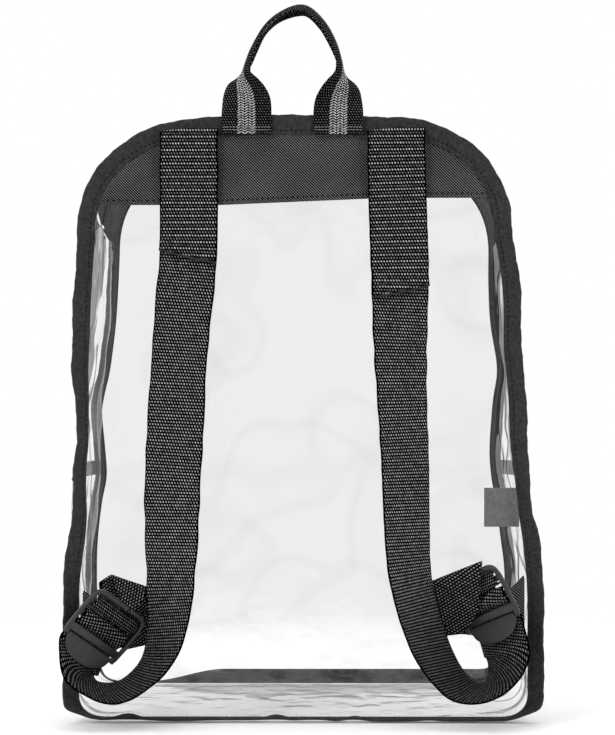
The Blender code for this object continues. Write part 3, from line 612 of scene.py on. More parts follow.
clearBody = {
    "seamIn": 0.2, "backSag": 2.0, "frontSwell": 4.0,
    "panelWaves": 0.75, "panelWaveSize": 95.0, "wallWaves": 1.0, "wallWaveSize": 46.0,
    # along the seam from the top of the left side, depth, turn, length, width, height
    "wallCreases": ((95, 122, 0, 95, 9, -6.5), (215, 116, 3, 60, 8, -4.5), (60, 60, 80, 60, 9, 1.6),
                    (120, 95, 95, 70, 8, -1.8), (190, 40, 70, 50, 8, 1.5),
                    (235, 110, 100, 40, 7, -1.6), (262, 60, 10, 40, 5, 1.5), (282, 90, 170, 38, 5, -1.4),
                    (300, 45, 25, 36, 4, 1.2), (318, 80, 5, 50, 4, -1.2), (420, 75, 88, 90, 7, 0.9),
                    (500, 60, 92, 80, 6, -0.9), (600, 95, 4, 40, 5, 1.3), (622, 50, 165, 38, 5, -1.4),
                    (645, 80, 12, 40, 6, 1.5), (700, 60, 85, 55, 9, -1.7), (770, 100, 96, 60, 9, 1.6),
                    (840, 55, 82, 60, 9, -1.5), (890, 95, 75, 40, 8, 1.5)),
}


def wallWaves(along, depth):
    free = np.sin(np.pi * np.clip(depth / bag["depth"], 0, 1)) ** 0.7
    waves = clearBody["wallWaves"] * ripple(along, 1.5 * depth, clearBody["wallWaveSize"], 11)
    onFloor = easeIn(along, 320, 350) * (1 - easeIn(along, 555, 585))
    lift = waves * (1 - 0.6 * onFloor) + creases(along, depth, clearBody["wallCreases"])
    return free * np.where(onFloor > 0.5, np.abs(lift) * -0.6, lift) - clearBody["seamIn"]


def panelGrid(loop, columns, rows, level, sag, seed):
    # Heights from bottom to top, and at each height an even row from edge to edge. The
    # sheet sags by 1 - r^2 towards its middle and waves a little.
    topAt = parts["top"] // 2 + lowerCount + parts["high"]
    bottomAt = parts["side"] + parts["low"] + parts["bottom"] // 2
    left = np.vstack([loop[bottomAt::-1], loop[:topAt - 1:-1]])
    right = loop[bottomAt:topAt + 1]
    share = 0.5 - 0.5 * np.cos(np.linspace(0, np.pi, rows))
    z = loop[:, 1].min() + 0.05 + (loop[:, 1].max() - loop[:, 1].min() - 0.1) * share
    leftX = np.interp(z, left[:, 1] + np.arange(len(left)) * 1e-6, left[:, 0])
    rightX = np.interp(z, right[:, 1] + np.arange(len(right)) * 1e-6, right[:, 0])
    u = np.linspace(0, 1, columns)[None, :]
    x = leftX[:, None] * (1 - u) + rightX[:, None] * u
    z = z[:, None] + 0 * u
    away = np.abs(2 * u - 1) ** 2
    tall = np.abs(2 * (z - z.min()) / (z.max() - z.min()) - 1) ** 2
    free = (1 - away) * (1 - tall)
    waves = clearBody["panelWaves"] * ripple(x, 0.7 * z, clearBody["panelWaveSize"], seed)
    y = level + sag * free ** 0.5 + waves * free ** 0.35
    return np.stack([x, y, z], axis=-1), np.stack([x, z], axis=-1)


def openSheet(name, grid, uv, finish):
    return makePiece(name, grid, [gridFaces(*grid.shape[:2])], finish, uv, closed=False)


points, uv = panelGrid(backSeam, 141, 181, bag["backY"] + 0.5, clearBody["backSag"], 3)
backPanel = openSheet("backPanel", points, uv, vinyl)
onBag(backPanel, "clear_vinyl", "back_panel")
points, uv = panelGrid(frontSeam, 141, 181, frontY - 0.5, clearBody["frontSwell"], 8)
frontPanel = openSheet("frontPanel", points, uv, vinyl)
onBag(frontPanel, "clear_vinyl", "front_panel")
points, uv = wallGrid(lowerPlaces, 1.3, bag["depth"] - 1.3, 61, wallWaves, 1)
sideGusset = openSheet("sideGusset", points, uv, wallVinyl)
onBag(sideGusset, "clear_vinyl", "side_gusset")
print("clear body made")


# Black top with its zipper

blackTop = {"backEnd": 66.0, "frontStart": 84.0, "thick": 1.1, "pleats": 0.5,
            "tooth": 1.7, "toothWide": 3.2, "toothTall": 1.0, "length": 385.0}


def pleat(along, depth):
    free = np.sin(np.pi * np.clip(depth / bag["depth"], 0, 1))
    return blackTop["pleats"] * ripple(along, depth, 38.0, 21) * free - 0.8


for name, node, low, high in (("topGussetBack", "top_gusset_back", 1.3, blackTop["backEnd"]),
                              ("topGussetFront", "top_gusset_front", blackTop["frontStart"], bag["depth"] - 1.3)):
    points, uv = wallGrid(upperPlaces, low, high, 27, pleat, -1)
    piece = thicken(openSheet(name, points, uv, twill), blackTop["thick"], 0.3)
    onBag(piece, "black_twill", node)

points, uv = wallGrid(upperPlaces, blackTop["backEnd"] - 2.5, blackTop["frontStart"] + 2.5, 9,
                      lambda along, depth: pleat(along, depth) - 0.9, -1)
zipTape = thicken(openSheet("zipTape", points, uv, tape), 0.6)
onBag(zipTape, "zip_coil", "zipper")


def zipTeeth():
    # One tooth is a small arch; its copies stand along the tape, to both sides by turns
    middle = (blackTop["backEnd"] + blackTop["frontStart"]) / 2
    steps = int(blackTop["length"] / blackTop["tooth"])
    place = np.linspace(upperPlaces[0] + 5.0, upperPlaces[-1] - 5.0, steps)
    side = np.where(np.arange(steps) % 2 == 0, -1.0, 1.0)
    t = np.linspace(0, 1, 6)[None, :, None]
    turn = (np.arange(6) / 6 * 2 * np.pi)[None, None, :]
    depth = middle + side[:, None, None] * (blackTop["toothWide"] * (t - 0.35))
    lift = 0.4 + blackTop["toothTall"] * np.sin(np.pi * (0.15 + 0.7 * t)) + 0.42 * np.sin(turn)
    shift = 0.55 * np.cos(turn) / 2.4 * (1 - 0.5 * (2 * t - 1) ** 4)
    place, depth, lift = np.broadcast_arrays(place[:, None, None] + shift, depth + 0 * turn, lift + 0 * depth)
    points = wallPoint(place, depth / bag["depth"], lift - 0.6)
    return makePiece("zipTeeth", points, smallTubes(6, steps), coilPlastic)


onBag(zipTeeth(), "zip_coil")


# Across, half of its depth and its height; a plain slider with a pull tab
sliderRows = ((-13.2, 2.2, 1.4), (-12.6, 3.4, 2.6), (-10.5, 4.5, 3.6), (-6.0, 4.6, 3.9), (-2.6, 4.0, 3.6),
              (-1.6, 2.9, 2.2), (0.0, 2.7, 1.6), (10.0, 3.0, 1.5), (22.0, 3.2, 1.5), (25.0, 2.9, 1.5),
              (26.2, 1.6, 1.0))


def zipSlider():
    # Superellipses that follow the rows, carried along the zipper
    rows = throughRows([(a, 0, 0, b, c) for a, b, c in sliderRows], 70)[:, [0, 3, 4]]
    low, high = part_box("zip_slider")
    y = (low.y + high.y) / 2 / mm
    rings = []
    for across, half, tall in rows:
        ring = oval(half, tall / 2, 3.2, 24)
        rings.append(np.column_stack([np.full(24, across), y + ring[:, 0], low.z / mm + tall / 2 + ring[:, 1]]))
    return makePiece("zipSlider", *tube(rings), metal)


onBag(zipSlider(), "zip_metal", "zip_slider")
print("top and zipper made")


# Bindings and stitches

bindings = {
    "inside": 2.0, "side": 10.0, "top": 11.3, "thick": 2.2, "gap": 0.3,
    "wobble": 0.55, "wobbleSize": 42.0, "stitchAt": 3.4, "stitch": 2.0, "pitch": 3.2,
    # how far the band turns out of the seam's plane at the top, the sides and the bottom
    "backTurn": (0, 30, 86), "frontTurn": (20, 46, 172), "backLow": 6.5, "frontLow": 10.3,
    # across, and how high the outer edge of the bottom band curls
    "backCurl": ((-140, 0.6), (-126, 1.2), (-113, 3.6), (-100, 0.9), (-80, 0.1), (-60, 0.8),
                 (-30, 1.2), (-18, 3.4), (-8, 0.9), (8, 1.7), (22, 0.2), (33, 2.4),
                 (44, 0.1), (70, 0.1), (82, 0.9), (95, 0.0), (140, 0.3)),
}


def bandFrame(loop, normal, level, facing):
    # Where the band starts, the way it runs across and the way it faces. The angle by
    # which it leaves the seam's plane goes smoothly from top to sides to bottom.
    z, nz = loop[:, 1], normal[:, 1]
    side = "back" if facing < 0 else "front"
    top, middle, bottom = bindings[side + "Turn"]
    if facing < 0:
        rolls = np.array(bag["backSides"])[::-1]
        left, right = (np.interp(z, rolls[:, 0], rolls[:, column]) for column in (3, 4))
        middle = np.where(loop[:, 0] < 0, left, right)
        middle = middle * (1 - easeIn(z, 318, 345))
    low = easeIn(-nz, 0.25, 1.0) if facing < 0 else easeIn(-nz, 0.1, 1.0)
    high = np.clip((z - 350) / 30, 0, 1)
    wide = bindings["inside"] + bindings["side"] + (bindings["top"] - bindings["side"]) * high
    wide = wide + (bindings[side + "Low"] - wide) * low
    if facing > 0:
        wide = wide * (1 - 0.85 * easeIn(-nz, 0.1, 0.6) * (1 - easeIn(loop[:, 0], -112, -58)))
    turned = np.radians(middle + (top - middle) * easeIn(nz, 0.1, 0.95) + (bottom - middle) * low)
    if facing < 0:
        room = (z + bindings["inside"] * -nz * (1 - low)) / (wide * np.maximum(-nz, 0.05))
        turned = np.maximum(turned, np.arccos(np.clip(np.where(nz < -0.05, room, 1.0), 0, 1)))
    turned = turned[:, None]
    flat = np.stack([normal[:, 0], 0 * z, nz], axis=1)
    out = np.array([[0.0, facing, 0.0]])
    across = np.cos(turned) * flat + np.sin(turned) * out
    through = np.cos(turned) * out - np.sin(turned) * flat
    inside = (bindings["inside"] * (1 - low))[:, None]
    folded = bindings["gap"] + (bindings["thick"] * np.maximum(0, -np.cos(turned)))
    start = np.stack([loop[:, 0], np.full(len(z), level), z], axis=1) - inside * flat + folded * out
    return start, across, through, wide


def makeBinding(name, node, loop, normal, level, facing, seed):
    # A flat oval section with a groove at its stitches, carried round the seam. Its
    # outer edge wanders a little, and curls up in places along the floor.
    start, across, through, wide = bandFrame(loop, normal, level, facing)
    gone = lengthAlong(start)
    total = gone[-1] + np.linalg.norm(start[0] - start[-1])
    ring = oval(0.5, 0.5, 4.5, 40)
    a, b = ring[:, 0] + 0.5, ring[:, 1] + 0.5
    period = total / np.round(total / bindings["wobbleSize"])
    wander = (np.sin(2 * np.pi * gone / period + seed) * 0.6
              + np.sin(2 * np.pi * gone / period * 3 + 2 * seed) * 0.35
              + np.sin(2 * np.pi * gone / period * 7 + 3 * seed) * 0.2) * bindings["wobble"]
    wander = wander * easeIn(np.abs(start[:, 2]), 4, 14)
    aMm = a[None, :] * (wide + wander)[:, None]
    groove = np.exp(-((aMm - bindings["stitchAt"]) / 0.9) ** 2) * 0.45
    puff = 1 + 0.16 * np.sin(2 * np.pi * gone[:, None] / 26 + 1.3 * seed) * a[None, :]
    bMm = bindings["thick"] * b[None, :] * puff - groove * np.where(b > 0.5, 1, 0)[None, :]
    points = start[:, None] + aMm[..., None] * across[:, None] + bMm[..., None] * through[:, None]
    if facing < 0:
        curl = throughRows([(x, 0, 0, h) for x, h in bindings["backCurl"]], 400)
        low = easeIn(-normal[:, 1], 0.9, 1.0)[:, None]
        points[..., 2] += low * a[None, :] ** 2 * np.interp(points[..., 0], curl[:, 0], curl[:, 3])
    points[..., 2] = np.maximum(points[..., 2], 0.1)
    uv = np.stack([aMm, np.repeat(gone[:, None], 40, axis=1)], axis=-1)
    piece = makePiece(name, points, [gridFaces(len(loop), 40, roundRows=True, roundColumns=True)], tape, uv)
    onBag(piece, "binding_tape", node)
    inward = np.minimum(bindings["stitchAt"], 0.34 * wide)[:, None]
    line = start + inward * across + (bindings["thick"] - 0.25) * through
    return line, through


def makeStitches(name, line, up, spec, closed=False):
    # Each stitch is a short spindle along the line: a ring of points whose radius is
    # the root of a sine, with its ends dipping into the cloth
    line, up = np.asarray(line, float), np.asarray(up, float)
    if closed:
        line, up = np.vstack([line, line[:1]]), np.vstack([up, up[:1]])
    gone = lengthAlong(line)
    count = max(1, int(gone[-1] / spec["pitch"]))
    middle = (np.arange(count) + 0.5) * gone[-1] / count
    t = np.linspace(-1, 1, 7)
    at = middle[:, None] + t * spec["stitch"] / 2
    centre, lift = readAt(at, gone, line), readAt(at, gone, up)
    along = unit(np.gradient(centre, axis=1))
    side = unit(np.cross(along, lift))
    radius = spec["radius"] * np.sqrt(np.clip(1 - 0.95 * t ** 4, 0, 1))
    centre = centre + lift * (spec["radius"] * (0.5 - 1.4 * t ** 4))[None, :, None]
    turn = np.arange(6) / 6 * 2 * np.pi
    points = (centre[:, :, None] + side[:, :, None] * (radius[:, None] * np.cos(turn))[None, ..., None]
              + lift[:, :, None] * (radius[:, None] * np.sin(turn))[None, ..., None])
    uv = np.broadcast_to(np.stack([turn[None, :] + 0 * t[:, None], t[:, None] * 2 + 0 * turn[None, :]], -1),
                         (count, 7, 6, 2))
    piece = makePiece(name, points, smallTubes(7, count), spec.get("finish", thread), uv)
    return onBag(piece, spec["slot"])


edgeStitch = {"pitch": bindings["pitch"], "stitch": bindings["stitch"], "radius": 0.42, "slot": "binding_tape"}
line, up = makeBinding("backBinding", "back_binding", backSeam, backNormal, bag["backY"], -1, 1)
makeStitches("backStitches", line, up, edgeStitch, closed=True)
line, up = makeBinding("frontBinding", "front_binding", frontSeam, frontNormal, frontY, 1, 4)
makeStitches("frontStitches", line, up, edgeStitch, closed=True)
print("bindings made")


# Yoke

yoke = {"left": 335.6, "right": 340.2, "thick": 1.2, "out": 0.9, "puff": 0.5, "hemStitch": 3.0}


def makeYoke():
    # Rows from the slanting lower edge up to the seam, each from side to side
    inset = backSeam - 2.3 * backNormal
    left = inset[lowerCount + parts["high"] + parts["top"] // 2:]
    left = np.vstack([left, inset[:12]])
    right = inset[lowerCount - 12:lowerCount + parts["high"] + parts["top"] // 2 + 1]
    middle = (yoke["left"] + yoke["right"]) / 2
    w = np.linspace(0, 1, 40)[:, None]
    u = np.linspace(0, 1, 110)[None, :]
    top = inset[:, 1].max() - 0.2
    z = middle + (top - middle) * w + 0 * u
    leftX = np.interp(z[:, 0], left[::-1, 1], left[::-1, 0])
    rightX = np.interp(z[:, 0], right[:, 1], right[:, 0])
    x = leftX[:, None] * (1 - u) + rightX[:, None] * u
    edge = np.interp(x, [-54, 54], [yoke["left"], yoke["right"]])
    z = z + (edge - middle) * (1 - w)
    puff = yoke["puff"] * ripple(x, z, 60.0, 5) * 0.4 * np.sin(np.pi * w) * np.sin(np.pi * u)
    y = bag["backY"] - yoke["out"] - puff
    points = np.stack([x, y, z], axis=-1)
    piece = thicken(openSheet("backYoke", points, np.stack([x, z], axis=-1), twill), yoke["thick"], 0.35)
    onBag(piece, "black_twill", "back_yoke")
    row = points[0] + np.array([0, -yoke["thick"] / 2, yoke["hemStitch"]])
    up = np.tile([0.0, -1.0, 0.0], (len(row), 1))
    makeStitches("yokeStitches", row, up, dict(edgeStitch, slot="black_twill"))


makeYoke()


# Side pockets

pockets = {"bottom": 16.0, "top": 153.0, "hem": 10.0, "slack": 7.5, "swell": 90.0, "edge": 3.0,
           "waves": 1.1, "waveSize": 40.0, "hemThick": 1.8, "gap": 0.3}


def pocketSlack(z, v):
    # The slack grows with the height as a power of 0.6, and from the seams to mid depth
    share = np.clip((z - pockets["bottom"]) / pockets["swell"], 0, 1)
    return pockets["slack"] * share ** 0.6 * np.sin(np.pi * v) ** 0.8


def placesAt(z, right):
    # The places of the seam on one side at these heights
    known = backSeam[:parts["side"] + parts["low"], 1]
    if right:
        first = lowerCount - parts["side"] - parts["low"]
        side = backSeam[first:lowerCount]
        return np.interp(z, side[:, 1], first + np.arange(len(side)))
    return np.interp(z, known[::-1], np.arange(len(known))[::-1])


def makePocket(side, right, seed):
    v = np.linspace(pockets["edge"], bag["depth"] - pockets["edge"], 81)[None, :] / bag["depth"]
    z = np.linspace(pockets["bottom"], pockets["top"], 90)[:, None]
    z, v = np.broadcast_arrays(z, v)
    place = placesAt(z, right)
    free = np.sin(np.pi * v) ** 0.6 * easeIn(z, pockets["bottom"], pockets["bottom"] + 30)
    waves = pockets["waves"] * ripple(z, 1.4 * v * bag["depth"], pockets["waveSize"], seed) * free
    points = wallPoint(place, v, pocketSlack(z, v) + waves + pockets["gap"] + 0.4)
    uv = np.stack([v * bag["depth"], z], axis=-1)
    piece = openSheet("sidePocket" + side.capitalize(), points, uv, vinyl)
    onBag(piece, "clear_vinyl", "side_pocket_" + side)
    v = np.linspace(pockets["edge"], bag["depth"] - pockets["edge"], 90) / bag["depth"]
    ring = oval(pockets["hem"] / 2, pockets["hemThick"] / 2, 4.5, 28)
    z = pockets["top"] + pockets["hem"] / 2 + ring[None, :, 0] + 0 * v[:, None]
    swell = pocketSlack(np.full_like(z, pockets["top"]), v[:, None] + 0 * z) + pockets["gap"] + 0.9
    points = wallPoint(placesAt(z, right), v[:, None] + 0 * z, swell + ring[None, :, 1])
    uv = np.stack([ring[None, :, 0] + 0 * v[:, None],
                   (v * bag["depth"])[:, None] + 0 * ring[None, :, 0]], axis=-1)
    hem = makePiece("pocketHem" + side.capitalize(), *tube(points), tape, uv)
    onBag(hem, "binding_tape", "pocket_hem_" + side)
    zLine = np.full(len(v), pockets["top"] + 1.8)
    line = wallPoint(placesAt(zLine, right), v, pocketSlack(zLine, v) + pockets["gap"] + 1.75)
    up = np.tile([1.0 if right else -1.0, 0.0, 0.0], (len(line), 1))
    makeStitches("pocketStitches" + side.capitalize(), line, up, edgeStitch)


makePocket("left", False, 31)
makePocket("right", True, 37)
print("yoke and pockets made")


# Webbing and straps

straps = {
    "wide": 37.4, "thick": 1.7, "lift": 2.55, "lean": {"left": 0.35, "right": -0.35},
    # across, up, out of the seam's plane, turn of the width, how far it tips forward
    "left": ((-74.2, 384.6, 4.0, 0, 0), (-74.2, 366.0, 4.0, 0, 0), (-74.2, 340.0, 3.0, 0, 0),
             (-74.6, 302.7, 5.4, -2, 4), (-77.6, 267.1, 9.5, -2, 8), (-80.5, 228.4, 12.5, 0, 12),
             (-82.5, 189.8, 13.6, 0, 10), (-84.4, 151.2, 13.8, 0, 12), (-84.8, 119.1, 15.4, 0, 20),
             (-85.3, 93.3, 17.6, 0, 30), (-86.6, 69.5, 19.4, -4, 41), (-90.0, 52.3, 20.6, -11, 50),
             (-95.6, 40.0, 21.8, -18, 59), (-103.6, 31.1, 22.6, -27, 66), (-112.4, 24.6, 23.0, -40, 71),
             (-120.8, 21.8, 23.4, -62, 75), (-128.6, 22.4, 23.8, -95, 80), (-135.8, 25.2, 23.8, -135, 82),
             (-141.4, 30.2, 23.2, -175, 72), (-143.6, 36.4, 21.8, -205, 52)),
    "right": ((60.0, 385.0, 4.0, 180, 0), (60.2, 366.0, 4.0, 180, 0), (60.9, 340.0, 3.0, 180, 0),
              (62.1, 299.4, 5.0, 180, 5), (62.5, 276.0, 7.6, 180, 11), (62.5, 243.8, 11.6, 180, 20),
              (63.6, 209.1, 14.6, 180, 28), (65.4, 170.6, 16.2, 180, 32), (66.4, 132.1, 17.8, 181, 36),
              (67.6, 104.7, 19.4, 183, 40), (70.2, 87.4, 20.3, 186, 43), (74.9, 69.5, 20.8, 190, 45),
              (81.4, 51.5, 21.2, 194, 48), (89.6, 36.8, 21.9, 200, 54), (98.6, 26.2, 22.8, 209, 61),
              (106.6, 22.4, 23.8, 224, 70), (113.6, 22.2, 24.6, 254, 78), (120.0, 24.8, 25.0, 300, 79),
              (125.0, 29.6, 24.8, 336, 71), (128.4, 35.4, 23.8, 354, 60), (130.2, 41.8, 22.8, 366, 50),
              (130.0, 48.4, 21.8, 376, 41)),
    # through the buckle: along it, above the middle of its frame
    "thread": ((41.0, -3.3), (34.0, -2.7), (29.6, -2.4), (26.2, -1.0), (24.4, 0.9),
               (21.4, 1.6), (18.8, 1.2), (17.4, -0.6), (17.3, -3.2)),
}
buckles = {
    "left": (-126.1, 65.4, 18.0, -220, 27), "right": (113.3, 83.0, 21.0, 388, 35),
    "long": 35.0, "wide": 43.6, "rail": 2.6, "topBar": 3.4, "deep": 1.8, "corner": 5.5, "bow": 0.7,
    # start, end, height above the frame's middle and half of the thickness of each bar
    "bars": ((8.4, 12.4, -1.0, 1.2), (19.0, 22.8, -1.0, 1.2), (27.8, 33.4, 1.3, 1.0)),
    "tab": 13.0, "tabInset": 4.0, "tabRise": 0.24, "lug": (32.0, 37.0),
}


def webRow(across, up, out, turn, tip):
    # A centre, and the direction of the webbing's width
    turn, tip = math.radians(turn), math.radians(tip)
    return np.array([across, bag["backY"] - out, up, math.cos(tip) * math.cos(turn), -math.sin(tip),
                     math.cos(tip) * math.sin(turn)])


def buckleAxes(buckle):
    # Centre, the way from the fixed bar to the tab, the bars' direction and the face
    row = webRow(*buckle)
    turn = math.radians(buckle[3])
    side = 1 if math.cos(turn) > 0 else -1
    length = np.array([side * math.sin(turn), 0.0, -side * math.cos(turn)])
    length = -length if length[2] > 0 else length
    face = np.cross(row[3:], length)
    return row[:3], length, row[3:], -face if face[1] > 0 else face


def inBuckle(buckle, along, across, above):
    centre, length, bars, face = buckleAxes(buckle)
    along, across, above = (np.asarray(x, float)[..., None] for x in (along, across, above))
    return centre + (along - buckles["long"] / 2) * length + across * bars + above * face


def threadRows(buckle, rows):
    bars = buckleAxes(buckle)[2]
    return [np.concatenate([inBuckle(buckle, along, 0.0, above), bars]) for along, above in rows]


def makePath(rows, front=None, square=True):
    # The centre line, the width across it and the face, at 900 even steps. The face is
    # along x across, turned so that it looks the way given at the start. The width is
    # square to the line, or keeps the rows' own direction.
    fine = throughRows(rows, 900)
    centre, across = fine[:, :3], fine[:, 3:6]
    along = unit(np.gradient(centre, axis=0))
    across = unit(across - (across * along).sum(1)[:, None] * along if square else across)
    face = unit(np.cross(along, across))
    if front is not None and face[0] @ np.array(front) < 0:
        across, face = -across, -face
    gone = lengthAlong(centre)
    return {"gone": gone, "centre": centre, "across": across, "face": face,
            "length": gone[-1], "more": fine[:, 6:]}


def onPath(path, s, a, b):
    # The point s along the path, a across it and b off its face
    centre, across, face = (readAt(s, path["gone"], path[key]) for key in ("centre", "across", "face"))
    return centre + a[..., None] * unit(across) + b[..., None] * unit(face)


def webSection(wide, thick):
    # The front from edge to edge and the rear back again. The half thickness is the
    # root of 1 - t^14, so the selvages are round.
    t = np.array([-1, -0.988, -0.96, -0.9, -0.78, -0.6, -0.4, -0.2, 0, 0.2, 0.4, 0.6, 0.78, 0.9, 0.96, 0.988, 1])
    h = np.sqrt(np.clip(1 - t ** 14, 0, 1)) * thick / 2
    return np.concatenate([t, t[-2:0:-1]]) * wide / 2, np.concatenate([h, -h[-2:0:-1]])


def makeWeb(name, path, spec, finish=None):
    # The section carried from start to end. A slant shifts one edge of an end along the
    # strap by the sixth power of the share that is left.
    a, b = webSection(spec.get("wide", straps["wide"]), spec.get("thick", straps["thick"]))
    start, end = spec.get("start", 0.0), spec.get("end", path["length"])
    rows = max(8, int((end - start) / spec.get("step", 1.6)))
    s = np.linspace(start, end, rows)[:, None] + 0 * a[None, :]
    share = np.linspace(0, 1, rows)[:, None]
    half = spec.get("wide", straps["wide"]) / 2
    s = (s + spec.get("slantStart", 0.0) * a[None, :] / half * (1 - share) ** 6
         + spec.get("slantEnd", 0.0) * a[None, :] / half * share ** 6)
    lift = spec.get("lift", 0.0) + spec.get("ridge", lambda s, a: 0.0)(s, a[None, :])
    edges = 0.22 * ripple(s, 0 * s, 17.0, spec.get("seed", 2))
    edges = edges * (np.abs(a[None, :]) / half) ** 3 * np.sign(a[None, :])
    points = onPath(path, s, a[None, :] + edges, b[None, :] + lift)
    weave = s + spec.get("lean", lambda s: 0.0)(s) * a[None, :]
    uv = np.stack([a[None, :] + 0 * s, weave], axis=-1)
    return makePiece(name, *tube(points), finish or webbing, uv)


def acrossLine(path, s, slant, lift, half, bend=0.0):
    # A line from edge to edge of a strap, for a row of stitches
    a = np.linspace(-half, half, 40)
    at = s + slant * a / half + bend * (1 - (a / half) ** 2)
    line = onPath(path, at, a, np.full(40, lift))
    return line, onPath(path, at, a, np.full(40, lift + 1)) - line


hems = {"left": {"end": 302.0, "slant": 3.6}, "right": {"end": 279.0, "slant": -4.2}}
webStitch = {"pitch": 2.4, "stitch": 1.9, "radius": 0.32, "slot": "strap_webbing"}


def makeStrap(side, seed):
    rows = [webRow(*row) for row in straps[side]]
    path = makePath(rows + threadRows(buckles[side], straps["thread"]), (0, -1, 0))
    title = side.capitalize()
    lean = lambda s: straps["lean"][side] * easeIn(s, path["length"] - 175, path["length"] - 95)
    strap = makeWeb("shoulderStrap" + title, path, {"seed": seed, "step": 1.4, "lean": lean, "slantStart": -1.6})
    onBag(strap, "strap_webbing", "shoulder_strap_" + side)
    hem = hems[side]
    end = np.interp(-hem["end"], -path["centre"][:300, 2], path["gone"][:300])
    half = strapSpec["half"]
    fold = lambda s, a: 0.75 * easeIn(s - hem["slant"] * a / half, end - 6.6, end - 5.2)
    spec = {"end": end, "lift": straps["lift"], "slantStart": -1.6, "slantEnd": hem["slant"],
            "ridge": fold, "seed": seed, "step": 0.9}
    lap = makeWeb("strapLap" + title, path, spec, lapWebbing)
    onBag(lap, "strap_webbing", "strap_lap_" + side)
    # The folded end of the sewn layer stands up as a smooth ridge
    a = np.linspace(-18.9, 18.9, 60)
    ring = oval(0.85, 0.8, 2.4, 14)
    at = end + hem["slant"] * a / half + 0.8 * np.sin(np.pi * (a / 37.8 + 0.5))
    s = at[:, None] + ring[None, :, 0]
    lift = straps["lift"] + 0.55 + ring[None, :, 1] + 0 * s
    ridge = makePiece("lapFold" + title, *tube(onPath(path, s, a[:, None] + 0 * s, lift)), tape,
                      np.stack([s, a[:, None] + 0 * s], axis=-1))
    onBag(ridge, "strap_webbing")
    for number, (back, above) in enumerate(((1.6, 0.75), (7.0, 0.1))):
        line, up = acrossLine(path, end - back, hem["slant"], straps["lift"] + 0.9 + above, 18.0, 0.8)
        makeStitches("lapStitches%s%d" % (title, number), line, up, webStitch)
    line, up = acrossLine(path, 2.6, 0.0, straps["lift"] + 0.85, 18.0)
    makeStitches("strapTopStitches" + title, line, up, webStitch)


makeStrap("left", 41)
makeStrap("right", 43)
print("straps made")


# Buckles

def roundBar(start, end, sideA, sideB, halfA, halfB, power=3.2, bulge=0.6):
    # A straight bar with domed ends: its section shrinks as a quarter circle there
    start, end = np.asarray(start, float), np.asarray(end, float)
    length = np.linalg.norm(end - start)
    cap = min(bulge, length / 4)
    turn = np.linspace(0, np.pi / 2, 5)
    t = np.concatenate([cap * (1 - np.cos(turn)), [length / 2], length - cap * (1 - np.cos(turn[::-1]))]) / length
    size = np.concatenate([np.sin(turn), [1.0], np.sin(turn[::-1])]) * 0.65 + 0.35
    ring = oval(halfA, halfB, power, 20)
    centre = start + (end - start) * t[:, None]
    rings = (centre[:, None] + (ring[:, 0] * size[:, None])[..., None] * sideA
             + (ring[:, 1] * size[:, None])[..., None] * sideB)
    return tube(rings)


def makeBuckle(side):
    buckle = buckles[side]
    length, bars, face = buckleAxes(buckle)[1:]
    half = buckles["wide"] / 2
    inner = half - buckles["rail"] / 2
    # The frame is one rounded U: a rail, a corner, the top bar, a corner and a rail. The
    # rails bow out a little, and the bar is wider than they are.
    r, top, foot = buckles["corner"], buckles["topBar"] / 2, buckles["long"] + 1.6
    turn = np.linspace(0, np.pi / 2, 14)
    quarterIn = np.stack([top + r - r * np.sin(turn), r * np.cos(turn) - r], axis=1)
    down = np.linspace(foot, top + r, 24)[:-1]
    sides = np.stack([down, buckles["bow"] * np.sin(np.pi * (down - top) / (foot - top))], axis=1)
    oneSide = np.vstack([sides, quarterIn])
    mirror = oneSide[::-1]
    line = np.vstack([np.stack([oneSide[:, 0], -inner - oneSide[:, 1]], axis=1),
                      [[top, 0.0]],
                      np.stack([mirror[:, 0], inner + mirror[:, 1]], axis=1)])
    step = unit(np.gradient(line, axis=0))
    thin = np.clip(np.arange(len(line)) / 2.0, 0.35, 1) * np.clip(np.arange(len(line))[::-1] / 2.0, 0.35, 1)
    bar = np.abs(step[:, 1]) ** 2
    wideHalf = (buckles["rail"] + (buckles["topBar"] - buckles["rail"]) * bar) / 2 * thin ** 0.5
    ring = oval(1.0, 1.0, 3.0, 24)
    sideways = -step[:, 1:] * length + step[:, :1] * bars
    rings = (inBuckle(buckle, line[:, 0], line[:, 1], 0.5)[:, None]
             + (ring[:, 0] * wideHalf[:, None])[..., None] * sideways[:, None]
             + (ring[:, 1] * (buckles["deep"] * thin[:, None] ** 0.5))[..., None] * face)
    bits = [tube(rings)]
    for start, end, above, deep in buckles["bars"]:
        middle = (start + end) / 2
        bits.append(roundBar(inBuckle(buckle, middle, -inner, above), inBuckle(buckle, middle, inner, above),
                             length, face, (end - start) / 2, deep))
    # The tab: a rounded section from the last bar out to a half-moon rim
    c = np.linspace(-1, 1, 45) * 0.995
    halfTab = half - buckles["tabInset"]
    rim = buckles["long"] + buckles["tab"] * np.maximum(1 - c ** 2, 0) ** 0.4
    root = buckles["long"] - 1.0
    ring = oval(1.0, 0.85, 3.6, 30)
    along = (root + rim)[:, None] / 2 + ring[None, :, 0] * (rim - root)[:, None] / 2
    above = 0.9 + ring[None, :, 1] + buckles["tabRise"] * np.maximum(0, along - root)
    bits.append(tube(inBuckle(buckle, along, (c * halfTab)[:, None] + 0 * along, above)))
    # Small lugs beside the tab
    for edge in (-1, 1):
        at = edge * (halfTab + 1.9)
        start, end = (inBuckle(buckle, along, at, 0.8) for along in buckles["lug"])
        bits.append(roundBar(start, end, bars, face, 1.7, 1.6))
    piece = makePiece("buckle" + side.capitalize(), *addUp(bits), plastic, smooth=40)
    onBag(piece, "buckle_plastic", "buckle_" + side)


makeBuckle("left")
makeBuckle("right")
print("buckles made")


# Anchors of the buckles

